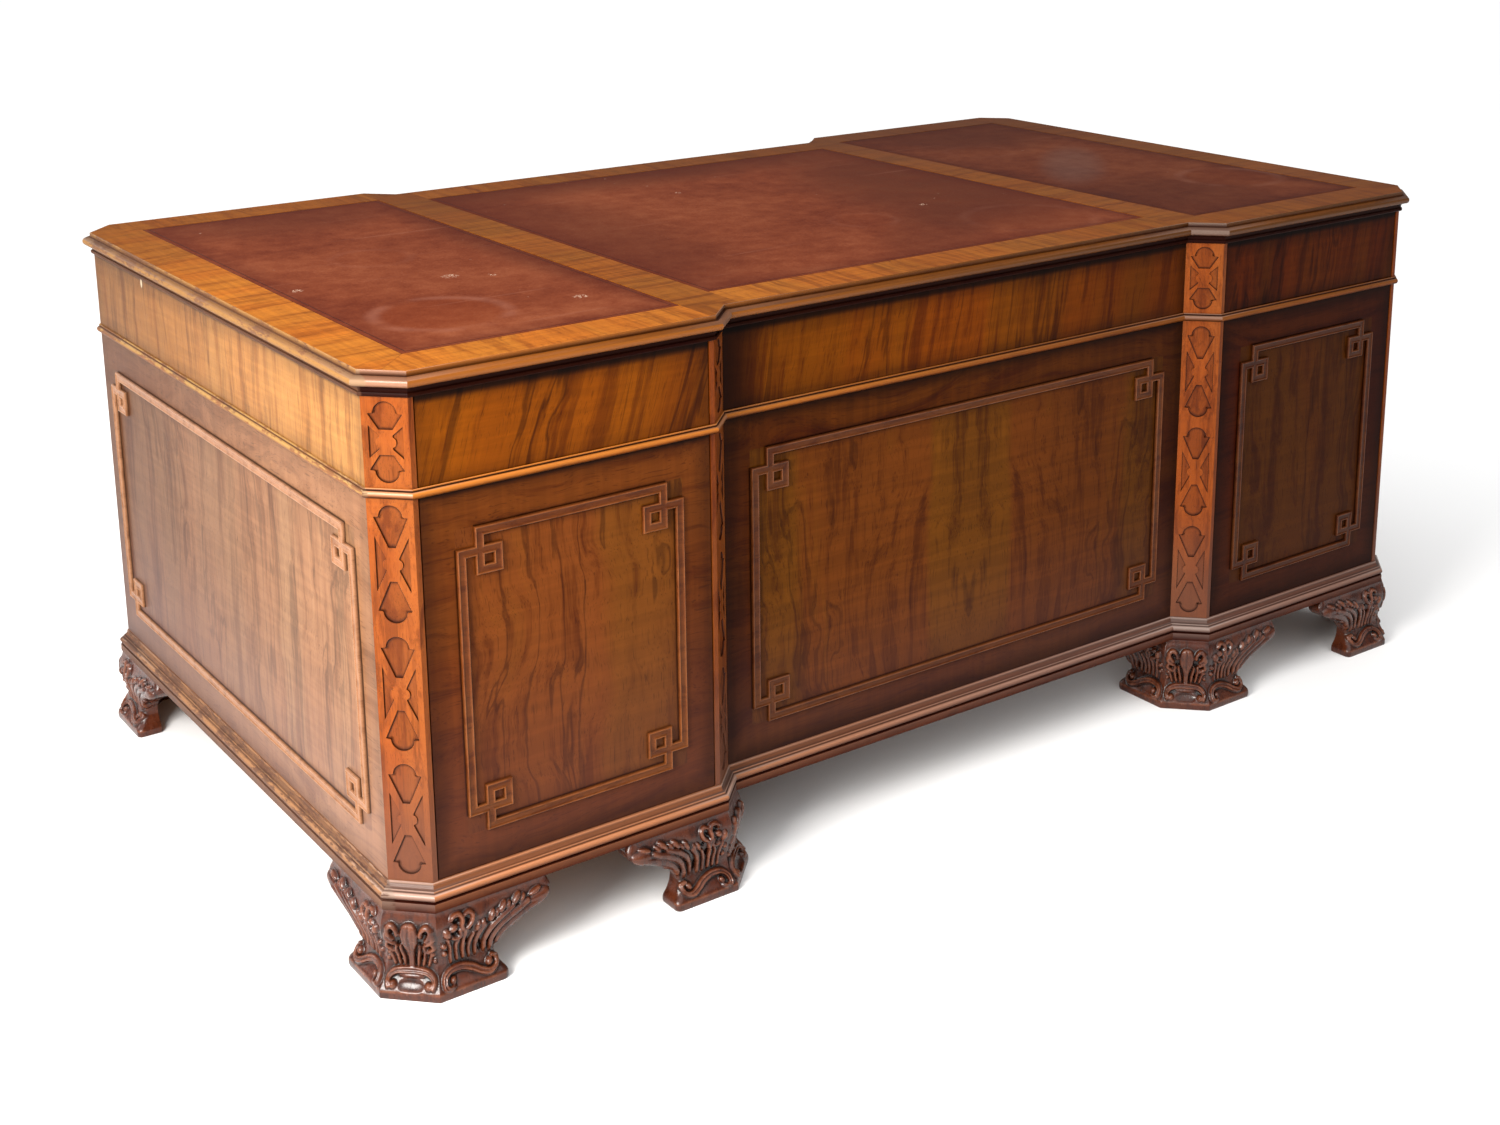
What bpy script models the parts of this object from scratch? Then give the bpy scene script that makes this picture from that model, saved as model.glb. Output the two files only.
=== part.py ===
"""A walnut pedestal desk with a leather top, blind-fretted corner posts and carved bracket feet.

Metres, +Z up, the origin on the floor under the middle of the desk. X runs along the desk.
The visitor's side, with the modesty panel, faces -Y. The user's side, with the drawers, faces +Y.
"""
import math

import bmesh
import bpy
from mathutils import Matrix, Vector

# Overall sizes, measured over the flat faces of the body
PEDESTAL_WIDTH = 0.4928
BODY_DEPTH = 1.0176
KNEEHOLE_WIDTH = 0.8458
CORNER_CANT = 0.0396

# Heights, from the floor up
FOOT_HEIGHT = 0.1114
PLINTH_HEIGHT = 0.0345
PEDESTAL_HEIGHT = 0.4874
FRIEZE_HEIGHT = 0.1150
TOP_THICKNESS = 0.0314

# Fits
GAP = 0.0003
CUT_OVERRUN = 0.004
DRAWER_SIDE_CLEARANCE = 0.0015
DRAWER_TOP_CLEARANCE = 0.002
DRAWER_RUN_CLEARANCE = 0.0005
PANEL_SETBACK = 0.001
PANEL_GROOVE = 0.002

# Boards
SIDE_THICKNESS = 0.018
FRONT_THICKNESS = 0.018
MODESTY_THICKNESS = 0.018
LEATHER_THICKNESS = 0.0012
POST_STRIP = 0.0065
POST_BACKING = 0.008

# Top: the leather panels lie in recesses inside a cross-banded border
TOP_OVERHANG = 0.014
TOP_BORDER = 0.066
LEATHER_BAND = 0.068
SIDE_LEATHER_WIDTH = 0.3825
TOP_EDGE_SHARES = (
    (0.20, 0.0), (0.29, 0.03), (0.29, 0.11), (0.15, 0.145), (0.15, 0.21), (0.24, 0.28), (0.42, 0.345),
    (0.62, 0.395), (0.68, 0.43), (0.87, 0.47), (0.975, 0.53), (1.0, 0.60), (0.975, 0.67), (0.87, 0.735),
    (0.68, 0.78), (0.46, 0.79), (0.42, 0.815), (0.30, 0.86), (0.25, 0.92), (0.22, 0.975), (0.165, 1.0),
)

# Waist moulding, a bead under a narrow fillet
WAIST_HEIGHT = 0.0122
WAIST_PROJECTION = 0.0055
WAIST_SHARES = (
    (0.15, 0.0), (0.55, 0.03), (0.84, 0.14), (0.98, 0.28), (1.0, 0.42), (0.95, 0.57), (0.80, 0.70),
    (0.55, 0.80), (0.40, 0.82), (0.40, 1.0),
)

# Plinth, from its fascia up to the body
PLINTH_PROJECTION = 0.0128
PLINTH_RAIL_WIDTH = 0.045
PLINTH_FRAME_WIDTH = 0.062
PLINTH_FLOOR = 0.010
PLINTH_SHARES = (
    (0.92, 0.0), (0.945, 0.02), (0.945, 0.39), (0.80, 0.405), (0.80, 0.45), (0.90, 0.465), (0.975, 0.51),
    (1.0, 0.575), (0.985, 0.64), (0.90, 0.705), (0.74, 0.74), (0.56, 0.755), (0.53, 0.80), (0.44, 0.855),
    (0.30, 0.875), (0.27, 0.93), (0.15, 0.985), (0.05, 1.0),
)

# Feet: how far they flare out, how far the ears reach, and how both change with the height
FOOT_FLARE = 0.0244
FOOT_EAR_REACH = 0.152
FOOT_BACK_SETBACK = 0.012
FOOT_BACK_CANT = 0.052
FOOT_END_ROUND = 0.006
FOOT_SHARES = (
    (0.0, 0.94, 0.545), (0.035, 1.0, 0.56), (0.125, 0.985, 0.555), (0.18, 0.78, 0.52), (0.27, 0.47, 0.485),
    (0.375, 0.31, 0.48), (0.49, 0.37, 0.545), (0.585, 0.51, 0.68), (0.68, 0.635, 0.815), (0.76, 0.70, 0.935),
    (0.83, 0.68, 0.985), (0.90, 0.575, 1.0), (0.96, 0.47, 0.98), (1.0, 0.43, 0.965),
)

# Blind fret of the posts: each unit is two round-headed drops, point to point, between two side cuts
FRET_DEPTH = 0.0022
FRET_HALF_WIDTH = 0.0205
FRET_HEAD_RADIUS = 0.0145
FRET_GAP = 0.0161
FRIEZE_FRET_GAP = 0.0120
FRET_NIB = 0.0016
FRET_UNITS = 3
FRET_HEAD_SIDES = 7
LONG_DROP_SHARES = (0.215, 0.281)
LONG_SIDE_CUT_SHARES = ((1.0, 0.465), (0.434, 0.112), (0.53, 0.085), (0.60, 0.03))
SHORT_DROP_SHARES = (0.415, 0.306)
SHORT_SIDE_CUT_SHARES = ((1.0, 0.40), (0.48, 0.112), (0.54, 0.085), (0.58, 0.03))

# Key-pattern frames: a moulding that turns back round a small square at each corner
KEY_WIDTH = 0.012
KEY_DEPTH = 0.0065
KEY_CHAMFER = 0.0026
KEY_TOP_MARGIN = 0.0547
KEY_BOTTOM_MARGIN = 0.0458
KEY_FRONT_MARGIN = 0.050
KEY_CENTRE_MARGIN = 0.0405
KEY_END_MARGIN = 0.039

# Drawer frames, drawers and knobs
RAIL_HEIGHT = 0.014
RAIL_DEPTH = 0.068
RUNNER_REACH = 0.018
FRAME_BACK_WIDTH = 0.03
STILE_INSET = 0.001
DRAWER_LENGTH = 0.62
DRAWER_FRONT_THICKNESS = 0.019
DRAWER_WALL = 0.011
DRAWER_BOTTOM = 0.008
DRAWER_FRONT_LIP = 0.004
DRAWER_SIDE_DROP = 0.003
DRAWER_EDGE_CHAMFER = 0.0016
LEFT_DRAWER_SHARES = (0.285, 0.333, 0.382)
RIGHT_DRAWER_SHARES = (0.285, 0.715)
KNOB_RADIUS = 0.0155
KNOB_LENGTH = 0.0235
KNOB_STEPS = 12
KNOB_SHARES = (
    (0.0, 1.0), (0.45, 0.985), (0.83, 0.90), (0.95, 0.77), (0.86, 0.63), (0.42, 0.50), (0.36, 0.28),
    (0.55, 0.14), (1.0, 0.09), (1.0, 0.0), (0.0, 0.0),
)
CENTRE_KNOB_SHARE = 0.5

# Levels and planes that follow from the sizes above
HALF_LENGTH = KNEEHOLE_WIDTH / 2 + PEDESTAL_WIDTH
HALF_DEPTH = BODY_DEPTH / 2
KNEE_HALF = KNEEHOLE_WIDTH / 2
INNER_DEPTH = HALF_DEPTH - CORNER_CANT
PLINTH_BOTTOM = FOOT_HEIGHT + GAP
PLINTH_TOP = PLINTH_BOTTOM + PLINTH_HEIGHT
WAIST_LEVEL = PLINTH_TOP + PEDESTAL_HEIGHT
TOP_UNDERSIDE = WAIST_LEVEL + FRIEZE_HEIGHT
DESK_HEIGHT = TOP_UNDERSIDE + TOP_THICKNESS
WAIST_BOTTOM = WAIST_LEVEL - WAIST_HEIGHT / 2
WAIST_TOP = WAIST_BOTTOM + WAIST_HEIGHT
POST_BOTTOM = PLINTH_TOP + GAP
POST_TOP = TOP_UNDERSIDE - GAP
POST_BACK = CORNER_CANT + POST_BACKING
OPENING_MARGIN = CORNER_CANT + POST_STRIP
OPENING_INNER = KNEE_HALF + OPENING_MARGIN
OPENING_OUTER = HALF_LENGTH - OPENING_MARGIN
PEDESTAL_MIDDLE = (KNEE_HALF + HALF_LENGTH) / 2
CARCASE_INNER = KNEE_HALF + SIDE_THICKNESS
CARCASE_OUTER = HALF_LENGTH - SIDE_THICKNESS
UPPER_START = WAIST_LEVEL + GAP / 2
LOWER_END = WAIST_LEVEL - GAP / 2
RECESS_DEPTH = LEATHER_THICKNESS + GAP

SMOOTH_DEGREES = 32

MATERIALS = {
    "walnut": ((0.17, 0.062, 0.022), 0.38, 0.0),
    "post_walnut": ((0.32, 0.10, 0.032), 0.36, 0.0),
    "top_walnut": ((0.38, 0.14, 0.045), 0.34, 0.0),
    "carved_walnut": ((0.095, 0.033, 0.018), 0.40, 0.0),
    "plinth_walnut": ((0.24, 0.10, 0.04), 0.36, 0.0),
    "drawer_walnut": ((0.20, 0.075, 0.028), 0.40, 0.0),
    "leather": ((0.13, 0.028, 0.017), 0.48, 0.0),
    "brass": ((0.62, 0.43, 0.16), 0.30, 1.0),
}


def clear_scene():
    """Removes what the file held before."""
    for old in list(bpy.data.objects):
        bpy.data.objects.remove(old, do_unlink=True)


def new_collection(name):
    """A collection under the scene's own."""
    collection = bpy.data.collections.new(name)
    bpy.context.scene.collection.children.link(collection)
    return collection


def material_for(node, kind):
    """A plain surface of one kind, made anew for each piece."""
    colour, roughness, metallic = MATERIALS[kind]
    material = bpy.data.materials.new(node + "_" + kind)
    material.use_nodes = True
    shader = material.node_tree.nodes["Principled BSDF"]
    shader.inputs["Base Color"].default_value = (*colour, 1)
    shader.inputs["Roughness"].default_value = roughness
    shader.inputs["Metallic"].default_value = metallic
    material.diffuse_color = (*colour, 1)
    return material


def add_object(name, mesh, kind):
    """Links a mesh as one piece of the desk."""
    piece = bpy.data.objects.new(name, mesh)
    DESK.objects.link(piece)
    mesh.materials.append(material_for(name, kind))
    return piece


def shade_curves(mesh):
    """Shades the gentle edges of a mesh smooth and keeps its arrises sharp."""
    mesh.shade_smooth()
    mesh.set_sharp_from_angle(angle=math.radians(SMOOTH_DEGREES))
    return mesh


def add_cutter(name, mesh):
    """Links a mesh as a guide that only cuts or joins."""
    cutter = bpy.data.objects.new(name, mesh)
    CUTTERS.objects.link(cutter)
    cutter.hide_render = True
    cutter.display_type = "WIRE"
    return cutter


def combine(piece, cutter, operation):
    """Cuts a piece by a cutter, or joins the two, with an exact Boolean."""
    modifier = piece.modifiers.new(cutter.name, "BOOLEAN")
    modifier.operation = operation
    modifier.solver = "EXACT"
    modifier.object = cutter
    return cutter


def finish_mesh(name, shape):
    """Turns a bmesh into a mesh with its faces outwards."""
    bmesh.ops.recalc_face_normals(shape, faces=shape.faces)
    mesh = bpy.data.meshes.new(name)
    shape.to_mesh(mesh)
    shape.free()
    return mesh


def carved_mesh(name, blank, cutters):
    """A mesh with others cut out of it."""
    block = add_cutter(name, blank)
    tools = [combine(block, add_cutter(name + "_cut", mesh), "DIFFERENCE") for mesh in cutters]
    graph = bpy.context.evaluated_depsgraph_get()
    graph.update()
    mesh = bpy.data.meshes.new_from_object(block.evaluated_get(graph))
    for used in tools + [block]:
        bpy.data.objects.remove(used, do_unlink=True)
    return mesh


def box_mesh(name, low, high):
    """A rectangular board between two corners."""
    size = [b - a for a, b in zip(low, high)]
    middle = [(a + b) / 2 for a, b in zip(low, high)]
    shape = bmesh.new()
    bmesh.ops.create_cube(shape, size=1, matrix=Matrix.Translation(middle) @ Matrix.Diagonal((*size, 1)))
    return finish_mesh(name, shape)


def prism_mesh(name, loops, thickness):
    """Flat outlines that lie apart, filled and raised from their plane by a thickness."""
    curve = bpy.data.curves.new(name, "CURVE")
    curve.dimensions = "2D"
    curve.fill_mode = "BOTH"
    curve.extrude = thickness / 2
    for loop in loops:
        spline = curve.splines.new("POLY")
        spline.points.add(len(loop) - 1)
        for point, place in zip(spline.points, loop):
            point.co = (place[0], place[1], 0, 1)
        spline.use_cyclic_u = True
    outline = bpy.data.objects.new(name, curve)
    CUTTERS.objects.link(outline)
    graph = bpy.context.evaluated_depsgraph_get()
    graph.update()
    filled = bpy.data.meshes.new_from_object(outline.evaluated_get(graph))
    shape = bmesh.new()
    shape.from_mesh(filled)
    bmesh.ops.remove_doubles(shape, verts=shape.verts, dist=GAP / 10)
    caps = [f for f in shape.faces if max(v.co.z for v in f.verts) - min(v.co.z for v in f.verts) < GAP / 10]
    bmesh.ops.dissolve_faces(shape, faces=caps)
    bmesh.ops.translate(shape, verts=shape.verts, vec=(0, 0, thickness / 2))
    bpy.data.objects.remove(outline, do_unlink=True)
    bpy.data.meshes.remove(filled)
    return finish_mesh(name, shape)


def loft_mesh(name, sections):
    """A closed solid through sections that have the same number of points."""
    shape = bmesh.new()
    rows = [[shape.verts.new(point) for point in section] for section in sections]
    for lower, upper in zip(rows, rows[1:]):
        for index in range(len(lower)):
            shape.faces.new((lower[index - 1], lower[index], upper[index], upper[index - 1]))
    shape.faces.new(rows[0])
    shape.faces.new(rows[-1])
    return finish_mesh(name, shape)


def join_meshes(name, meshes):
    """Several meshes as one, still as separate bodies."""
    shape = bmesh.new()
    for mesh in meshes:
        shape.from_mesh(mesh)
    return finish_mesh(name, shape)


def moved_mesh(mesh, matrix):
    """The same mesh moved by a matrix."""
    mesh.transform(matrix)
    return mesh


def offset_outline(outline, distance):
    """Moves each side of a counterclockwise outline outwards by one distance, with mitred corners."""
    moved = []
    for index, corner in enumerate(outline):
        here = Vector(corner)
        into = (here - Vector(outline[index - 1])).normalized()
        away = (Vector(outline[(index + 1) % len(outline)]) - here).normalized()
        first = Vector((into.y, -into.x))
        second = Vector((away.y, -away.x))
        moved.append(here + (first + second) * (distance / (1 + first.dot(second))))
    return moved


def mitred_mesh(name, outline, steps):
    """A slab whose outline grows and shrinks with its height. Each step is an offset and a height."""
    sections = []
    for offset, height in steps:
        edge = offset_outline(outline, offset)
        sections.append([(point.x, point.y, height) for point in edge])
    return loft_mesh(name, sections)


def moulding_steps(shares, projection, bottom, height):
    """Offsets and heights of a moulding. Each pair of shares is how far out and how high."""
    return [(out_share * projection, bottom + up_share * height) for out_share, up_share in shares]


def desk_outline():
    """Plan of the body: two canted pedestals with a shallower middle, counterclockwise."""
    quarter = [
        (KNEE_HALF, INNER_DEPTH),
        (KNEE_HALF + CORNER_CANT, HALF_DEPTH),
        (HALF_LENGTH - CORNER_CANT, HALF_DEPTH),
        (HALF_LENGTH, INNER_DEPTH),
    ]
    front_right = [(x, -y) for x, y in quarter]
    back_right = quarter[::-1]
    back_left = [(-x, y) for x, y in quarter]
    front_left = [(-x, -y) for x, y in quarter[::-1]]
    return front_right + back_right + back_left + front_left


def plinth_outline():
    """Plan of the plinth: both pedestals, joined by a rail below the modesty panel."""
    rail_back = -(INNER_DEPTH - PLINTH_RAIL_WIDTH)
    outline = []
    for x, y in desk_outline():
        outline.append((x, y))
        if (x, y) == (KNEE_HALF, INNER_DEPTH):
            outline.append((KNEE_HALF, rail_back))
            outline.append((-KNEE_HALF, rail_back))
    return outline


def bevel_front(mesh, width, is_front):
    """Chamfers the edges whose ends both lie on the front of a piece."""
    shape = bmesh.new()
    shape.from_mesh(mesh)
    bmesh.ops.dissolve_limit(shape, angle_limit=math.radians(1), verts=shape.verts, edges=shape.edges)
    edges = [e for e in shape.edges if all(is_front(v.co) for v in e.verts) and e.calc_face_angle(0) > 0.5]
    bmesh.ops.bevel(shape, geom=edges, offset=width, offset_type="OFFSET", segments=1, affect="EDGES",
                    clamp_overlap=True)
    shape.to_mesh(mesh)
    shape.free()
    return mesh


def make_top():
    """The top board with its moulded edge and three recesses, and the leather panels in them."""
    outer = HALF_LENGTH - TOP_BORDER
    inner = outer - SIDE_LEATHER_WIDTH
    middle = inner - LEATHER_BAND
    side_depth = HALF_DEPTH - TOP_BORDER
    middle_depth = INNER_DEPTH - TOP_BORDER
    places = {
        "leather_left": (-outer, -inner, side_depth),
        "leather_centre": (-middle, middle, middle_depth),
        "leather_right": (inner, outer, side_depth),
    }
    floor = DESK_HEIGHT - RECESS_DEPTH
    recesses = []
    for name, (start, end, depth) in places.items():
        low = (start - GAP, -depth - GAP, floor)
        high = (end + GAP, depth + GAP, DESK_HEIGHT + CUT_OVERRUN)
        recesses.append(box_mesh(name + "_recess", low, high))
        skin = box_mesh(name, (start, -depth, floor + GAP), (end, depth, DESK_HEIGHT))
        add_object(name, skin, "leather")
    steps = moulding_steps(TOP_EDGE_SHARES, TOP_OVERHANG, TOP_UNDERSIDE, TOP_THICKNESS)
    board = carved_mesh("top_board", mitred_mesh("top_board", desk_outline(), steps), recesses)
    add_object("top_board", shade_curves(board), "top_walnut")


def make_waist():
    """The waist moulding, a mitred ring round the whole body."""
    steps = moulding_steps(WAIST_SHARES, WAIST_PROJECTION, WAIST_BOTTOM, WAIST_HEIGHT)
    inside = [(p.x, p.y) for p in offset_outline(desk_outline(), GAP)]
    core = prism_mesh("waist_core", [inside], WAIST_HEIGHT + 2 * CUT_OVERRUN)
    moved_mesh(core, Matrix.Translation((0, 0, WAIST_BOTTOM - CUT_OVERRUN)))
    ring = carved_mesh("waist_moulding", mitred_mesh("waist_moulding", desk_outline(), steps), [core])
    add_object("waist_moulding", shade_curves(ring), "walnut")


def make_plinth():
    """The plinth with its torus and fascia. Below each pedestal it is a frame under a bottom board."""
    steps = moulding_steps(PLINTH_SHARES, PLINTH_PROJECTION, PLINTH_BOTTOM, PLINTH_HEIGHT)
    hollows = []
    depth = HALF_DEPTH - PLINTH_FRAME_WIDTH
    for side, sign in (("left", -1), ("right", 1)):
        ends = sorted((sign * (KNEE_HALF + PLINTH_FRAME_WIDTH), sign * (HALF_LENGTH - PLINTH_FRAME_WIDTH)))
        low = (ends[0], -depth, PLINTH_BOTTOM - CUT_OVERRUN)
        hollows.append(box_mesh("plinth_hollow_" + side, low, (ends[1], depth, PLINTH_TOP - PLINTH_FLOOR)))
    plinth = carved_mesh("plinth", mitred_mesh("plinth", plinth_outline(), steps), hollows)
    add_object("plinth", shade_curves(plinth), "plinth_walnut")


def make_boards():
    """End panels, kneehole sides, front panels, modesty panel and frieze boards."""
    front_start = OPENING_INNER + PANEL_GROOVE
    front_end = OPENING_OUTER - PANEL_GROOVE
    face = -HALF_DEPTH + PANEL_SETBACK
    depth = INNER_DEPTH - GAP
    centre = KNEE_HALF - GAP
    levels = (("lower", POST_BOTTOM, LOWER_END), ("upper", UPPER_START, POST_TOP))
    for level, bottom, top in levels:
        for side, sign in (("left", -1), ("right", 1)):
            ends = sorted((sign * CARCASE_OUTER, sign * HALF_LENGTH))
            name = ("end_panel_" if level == "lower" else "frieze_end_") + side
            add_object(name, box_mesh(name, (ends[0], -depth, bottom), (ends[1], depth, top)), "walnut")
            fronts = sorted((sign * front_start, sign * front_end))
            name = ("front_panel_" if level == "lower" else "frieze_front_") + side
            board = box_mesh(name, (fronts[0], face, bottom), (fronts[1], face + FRONT_THICKNESS, top))
            add_object(name, board, "walnut")
            if level == "lower":
                knees = sorted((sign * KNEE_HALF, sign * CARCASE_INNER))
                name = "kneehole_side_" + side
                add_object(name, box_mesh(name, (knees[0], -depth, bottom), (knees[1], depth, top)), "walnut")
        name = "modesty_panel" if level == "lower" else "frieze_front_centre"
        inside = -INNER_DEPTH + MODESTY_THICKNESS
        add_object(name, box_mesh(name, (-centre, -INNER_DEPTH, bottom), (centre, inside, top)), "walnut")


def drop_outline(half_height, drop_shares):
    """One round-headed drop of a fret unit: a half circle, two nibs and a taper to a flat tip."""
    tip_share, rise_share = drop_shares
    head_centre = half_height - FRET_HEAD_RADIUS
    head = []
    for step in range(FRET_HEAD_SIDES + 1):
        angle = math.pi * step / FRET_HEAD_SIDES
        head.append((FRET_HEAD_RADIUS * math.cos(angle), head_centre + FRET_HEAD_RADIUS * math.sin(angle)))
    upper, lower = head_centre - FRET_NIB / 4, head_centre - FRET_NIB
    tip = FRET_HALF_WIDTH * tip_share
    right = [(tip, half_height * rise_share), (FRET_HALF_WIDTH, lower), (FRET_HALF_WIDTH, upper)]
    left = [(-x, y) for x, y in reversed(right)]
    return head + left + right


def side_cut_outline(half_height, cut_shares):
    """The cut between a unit's straps and the post's edge, with the bump of the strap's waist."""
    upper = [(FRET_HALF_WIDTH * out, half_height * up) for out, up in cut_shares]
    lower = [(x, -y) for x, y in reversed(upper)]
    return upper + lower


def fret_unit(middle, half_height, drop_shares, cut_shares):
    """The four pockets of one unit, as outlines on the face of the post."""
    drop = drop_outline(half_height, drop_shares)
    cut = side_cut_outline(half_height, cut_shares)
    loops = [drop, [(x, -y) for x, y in drop], cut, [(-x, y) for x, y in cut]]
    return [[(x, y + middle) for x, y in loop] for loop in loops]


def fret_cutter_mesh():
    """All pockets of a post, standing on the face of the cant, which is the plane local y = 0."""
    loops = []
    pitch = (WAIST_BOTTOM - PLINTH_TOP) / FRET_UNITS
    half = (pitch - FRET_GAP) / 2
    for index in range(FRET_UNITS):
        middle = PLINTH_TOP + pitch * (index + 1 / 2)
        loops += fret_unit(middle, half, LONG_DROP_SHARES, LONG_SIDE_CUT_SHARES)
    clear = TOP_UNDERSIDE - WAIST_TOP
    middle = (TOP_UNDERSIDE + WAIST_TOP) / 2
    loops += fret_unit(middle, (clear - FRIEZE_FRET_GAP) / 2, SHORT_DROP_SHARES, SHORT_SIDE_CUT_SHARES)
    mesh = prism_mesh("fret", loops, FRET_DEPTH + CUT_OVERRUN)
    stand_up = Matrix(((1, 0, 0, 0), (0, 0, -1, CUT_OVERRUN), (0, 1, 0, 0), (0, 0, 0, 1)))
    return moved_mesh(mesh, stand_up)


def post_mesh(mirrored):
    """A corner post, its canted face on the plane local y = 0 and its front strip at one side."""
    rebate = SIDE_THICKNESS + GAP
    corners = [
        (0, CORNER_CANT), (CORNER_CANT, 0), (OPENING_MARGIN, 0), (OPENING_MARGIN, POST_BACK),
        (rebate, POST_BACK), (rebate, CORNER_CANT),
    ]
    side = -1 if mirrored else 1
    turned = [(side * (a - b) / math.sqrt(2), (CORNER_CANT - a - b) / math.sqrt(2)) for a, b in corners]
    mesh = prism_mesh("post", [turned], POST_TOP - POST_BOTTOM)
    return moved_mesh(mesh, Matrix.Translation((0, 0, POST_BOTTOM)))


def corner_places():
    """Name, place of the plan corner and outward directions of each pedestal corner."""
    for side, sign in (("left", -1), ("right", 1)):
        for reach, x, outward in (("outer", HALF_LENGTH, sign), ("inner", KNEE_HALF, -sign)):
            for end, toward in (("front", -1), ("back", 1)):
                yield side + "_" + reach + "_" + end, sign * x, toward * HALF_DEPTH, outward, toward


def make_posts():
    """The eight corner posts, each cut by the same fret."""
    meshes = [carved_mesh("post", post_mesh(mirrored), [fret_cutter_mesh()]) for mirrored in (False, True)]
    for name, x, y, outward, toward in corner_places():
        mesh = shade_curves(meshes[outward * toward > 0].copy())
        post = add_object("post_" + name, mesh, "post_walnut")
        post.location = (x - outward * CORNER_CANT / 2, y - toward * CORNER_CANT / 2, 0)
        post.rotation_euler = (0, 0, math.atan2(-outward, toward))


def foot_mesh():
    """A canted bracket foot. Its plan corner is the origin and its two arms run along -X and -Y."""
    mitre = math.tan(math.pi / 8)
    sections = []
    for up_share, out_share, reach_share in FOOT_SHARES:
        out = FOOT_FLARE * out_share
        end = CORNER_CANT + FOOT_EAR_REACH * reach_share
        cant = CORNER_CANT - out * mitre
        back = FOOT_BACK_SETBACK
        arm = [
            (back, FOOT_BACK_CANT), (back, end), (FOOT_END_ROUND - out, end), (-out, end - FOOT_END_ROUND),
            (-out, cant),
        ]
        other = [(b, a) for a, b in reversed(arm)]
        sections.append([(-a, -b, FOOT_HEIGHT * up_share) for a, b in arm + other])
    return loft_mesh("foot", sections)


def make_feet():
    """The eight bracket feet, one under each pedestal corner."""
    turns = {(1, 1): 0, (-1, 1): 1, (-1, -1): 2, (1, -1): 3}
    for name, x, y, outward, toward in corner_places():
        foot = add_object("foot_" + name, shade_curves(foot_mesh()), "carved_walnut")
        foot.location = (x, y, 0)
        foot.rotation_euler = (0, 0, turns[(outward, toward)] * math.pi / 2)


def key_corner(outline_units):
    """Points of one corner in moulding widths, as lengths."""
    return [(KEY_WIDTH * u, KEY_WIDTH * v) for u, v in outline_units]


def key_frame_loops(width, height):
    """Outer edge, inner edge and the four square holes of a key-pattern frame, all counterclockwise."""
    outer = key_corner(((0, 2), (2, 2), (2, 0)))
    inner = key_corner(((1, 3), (2, 3), (2, 5), (5, 5), (5, 2), (3, 2), (3, 1)))
    hole = key_corner(((3, 3), (4, 3), (4, 4), (3, 4)))
    edges = [[], []]
    holes = []
    corners = ((0, 0, 1, 1), (width, 0, -1, 1), (width, height, -1, -1), (0, height, 1, -1))
    for x, y, right, up in corners:
        step = right * up
        edges[0] += [(x + right * u, y + up * v) for u, v in outer[::step]]
        edges[1] += [(x + right * u, y + up * v) for u, v in inner[::step]]
        holes.append([(x + right * u, y + up * v) for u, v in hole[::step]])
    return edges[0], [edges[1]] + holes


def make_key_frame(name, width, height, place, turn):
    """A key-pattern frame whose lower left corner, seen from its front, is at a place."""
    outer, openings = key_frame_loops(width, height)
    shoulder = KEY_DEPTH - KEY_CHAMFER
    blank = mitred_mesh(name, outer, ((0, 0), (0, shoulder), (-KEY_CHAMFER, KEY_DEPTH)))
    above = KEY_DEPTH + CUT_OVERRUN
    steps = ((0, -CUT_OVERRUN), (0, shoulder), (KEY_CHAMFER, KEY_DEPTH), (KEY_CHAMFER, above))
    mesh = carved_mesh(name, blank, [mitred_mesh(name, loop, steps) for loop in openings])
    upright = Matrix.Rotation(turn, 4, "Z") @ Matrix.Rotation(math.pi / 2, 4, "X")
    moved_mesh(mesh, Matrix.Translation(place) @ upright)
    add_object(name, mesh, "walnut")


def make_key_frames():
    """Frames on the two front panels, the modesty panel and the two ends."""
    bottom = PLINTH_TOP + KEY_BOTTOM_MARGIN
    height = WAIST_LEVEL - KEY_TOP_MARGIN - bottom
    start = KNEE_HALF + CORNER_CANT + KEY_FRONT_MARGIN
    width = HALF_LENGTH - CORNER_CANT - KEY_FRONT_MARGIN - start
    front = -HALF_DEPTH + PANEL_SETBACK - GAP
    make_key_frame("key_frame_left", width, height, (-start - width, front, bottom), 0)
    make_key_frame("key_frame_right", width, height, (start, front, bottom), 0)
    half = KNEE_HALF - KEY_CENTRE_MARGIN
    make_key_frame("key_frame_centre", 2 * half, height, (-half, -INNER_DEPTH - GAP, bottom), 0)
    reach = INNER_DEPTH - KEY_END_MARGIN
    face = HALF_LENGTH + GAP
    make_key_frame("key_frame_left_end", 2 * reach, height, (-face, reach, bottom), -math.pi / 2)
    make_key_frame("key_frame_right_end", 2 * reach, height, (face, -reach, bottom), math.pi / 2)


def frieze_frame_outline():
    """Plan of the frieze frame: it reaches the face between the posts and stops short of the posts."""
    behind_posts = HALF_DEPTH - POST_BACK - GAP
    front = -(INNER_DEPTH - MODESTY_THICKNESS - GAP)
    end = CARCASE_OUTER - GAP
    left, right = OPENING_INNER + GAP, OPENING_OUTER - GAP
    knee, knee_back = KNEE_HALF - GAP, INNER_DEPTH - GAP
    half = [
        (end, front), (end, behind_posts), (right, behind_posts), (right, HALF_DEPTH), (left, HALF_DEPTH),
        (left, behind_posts), (CARCASE_INNER, behind_posts), (CARCASE_INNER, knee_back), (knee, knee_back),
        (knee, INNER_DEPTH),
    ]
    return half + [(-x, y) for x, y in reversed(half)]


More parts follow.
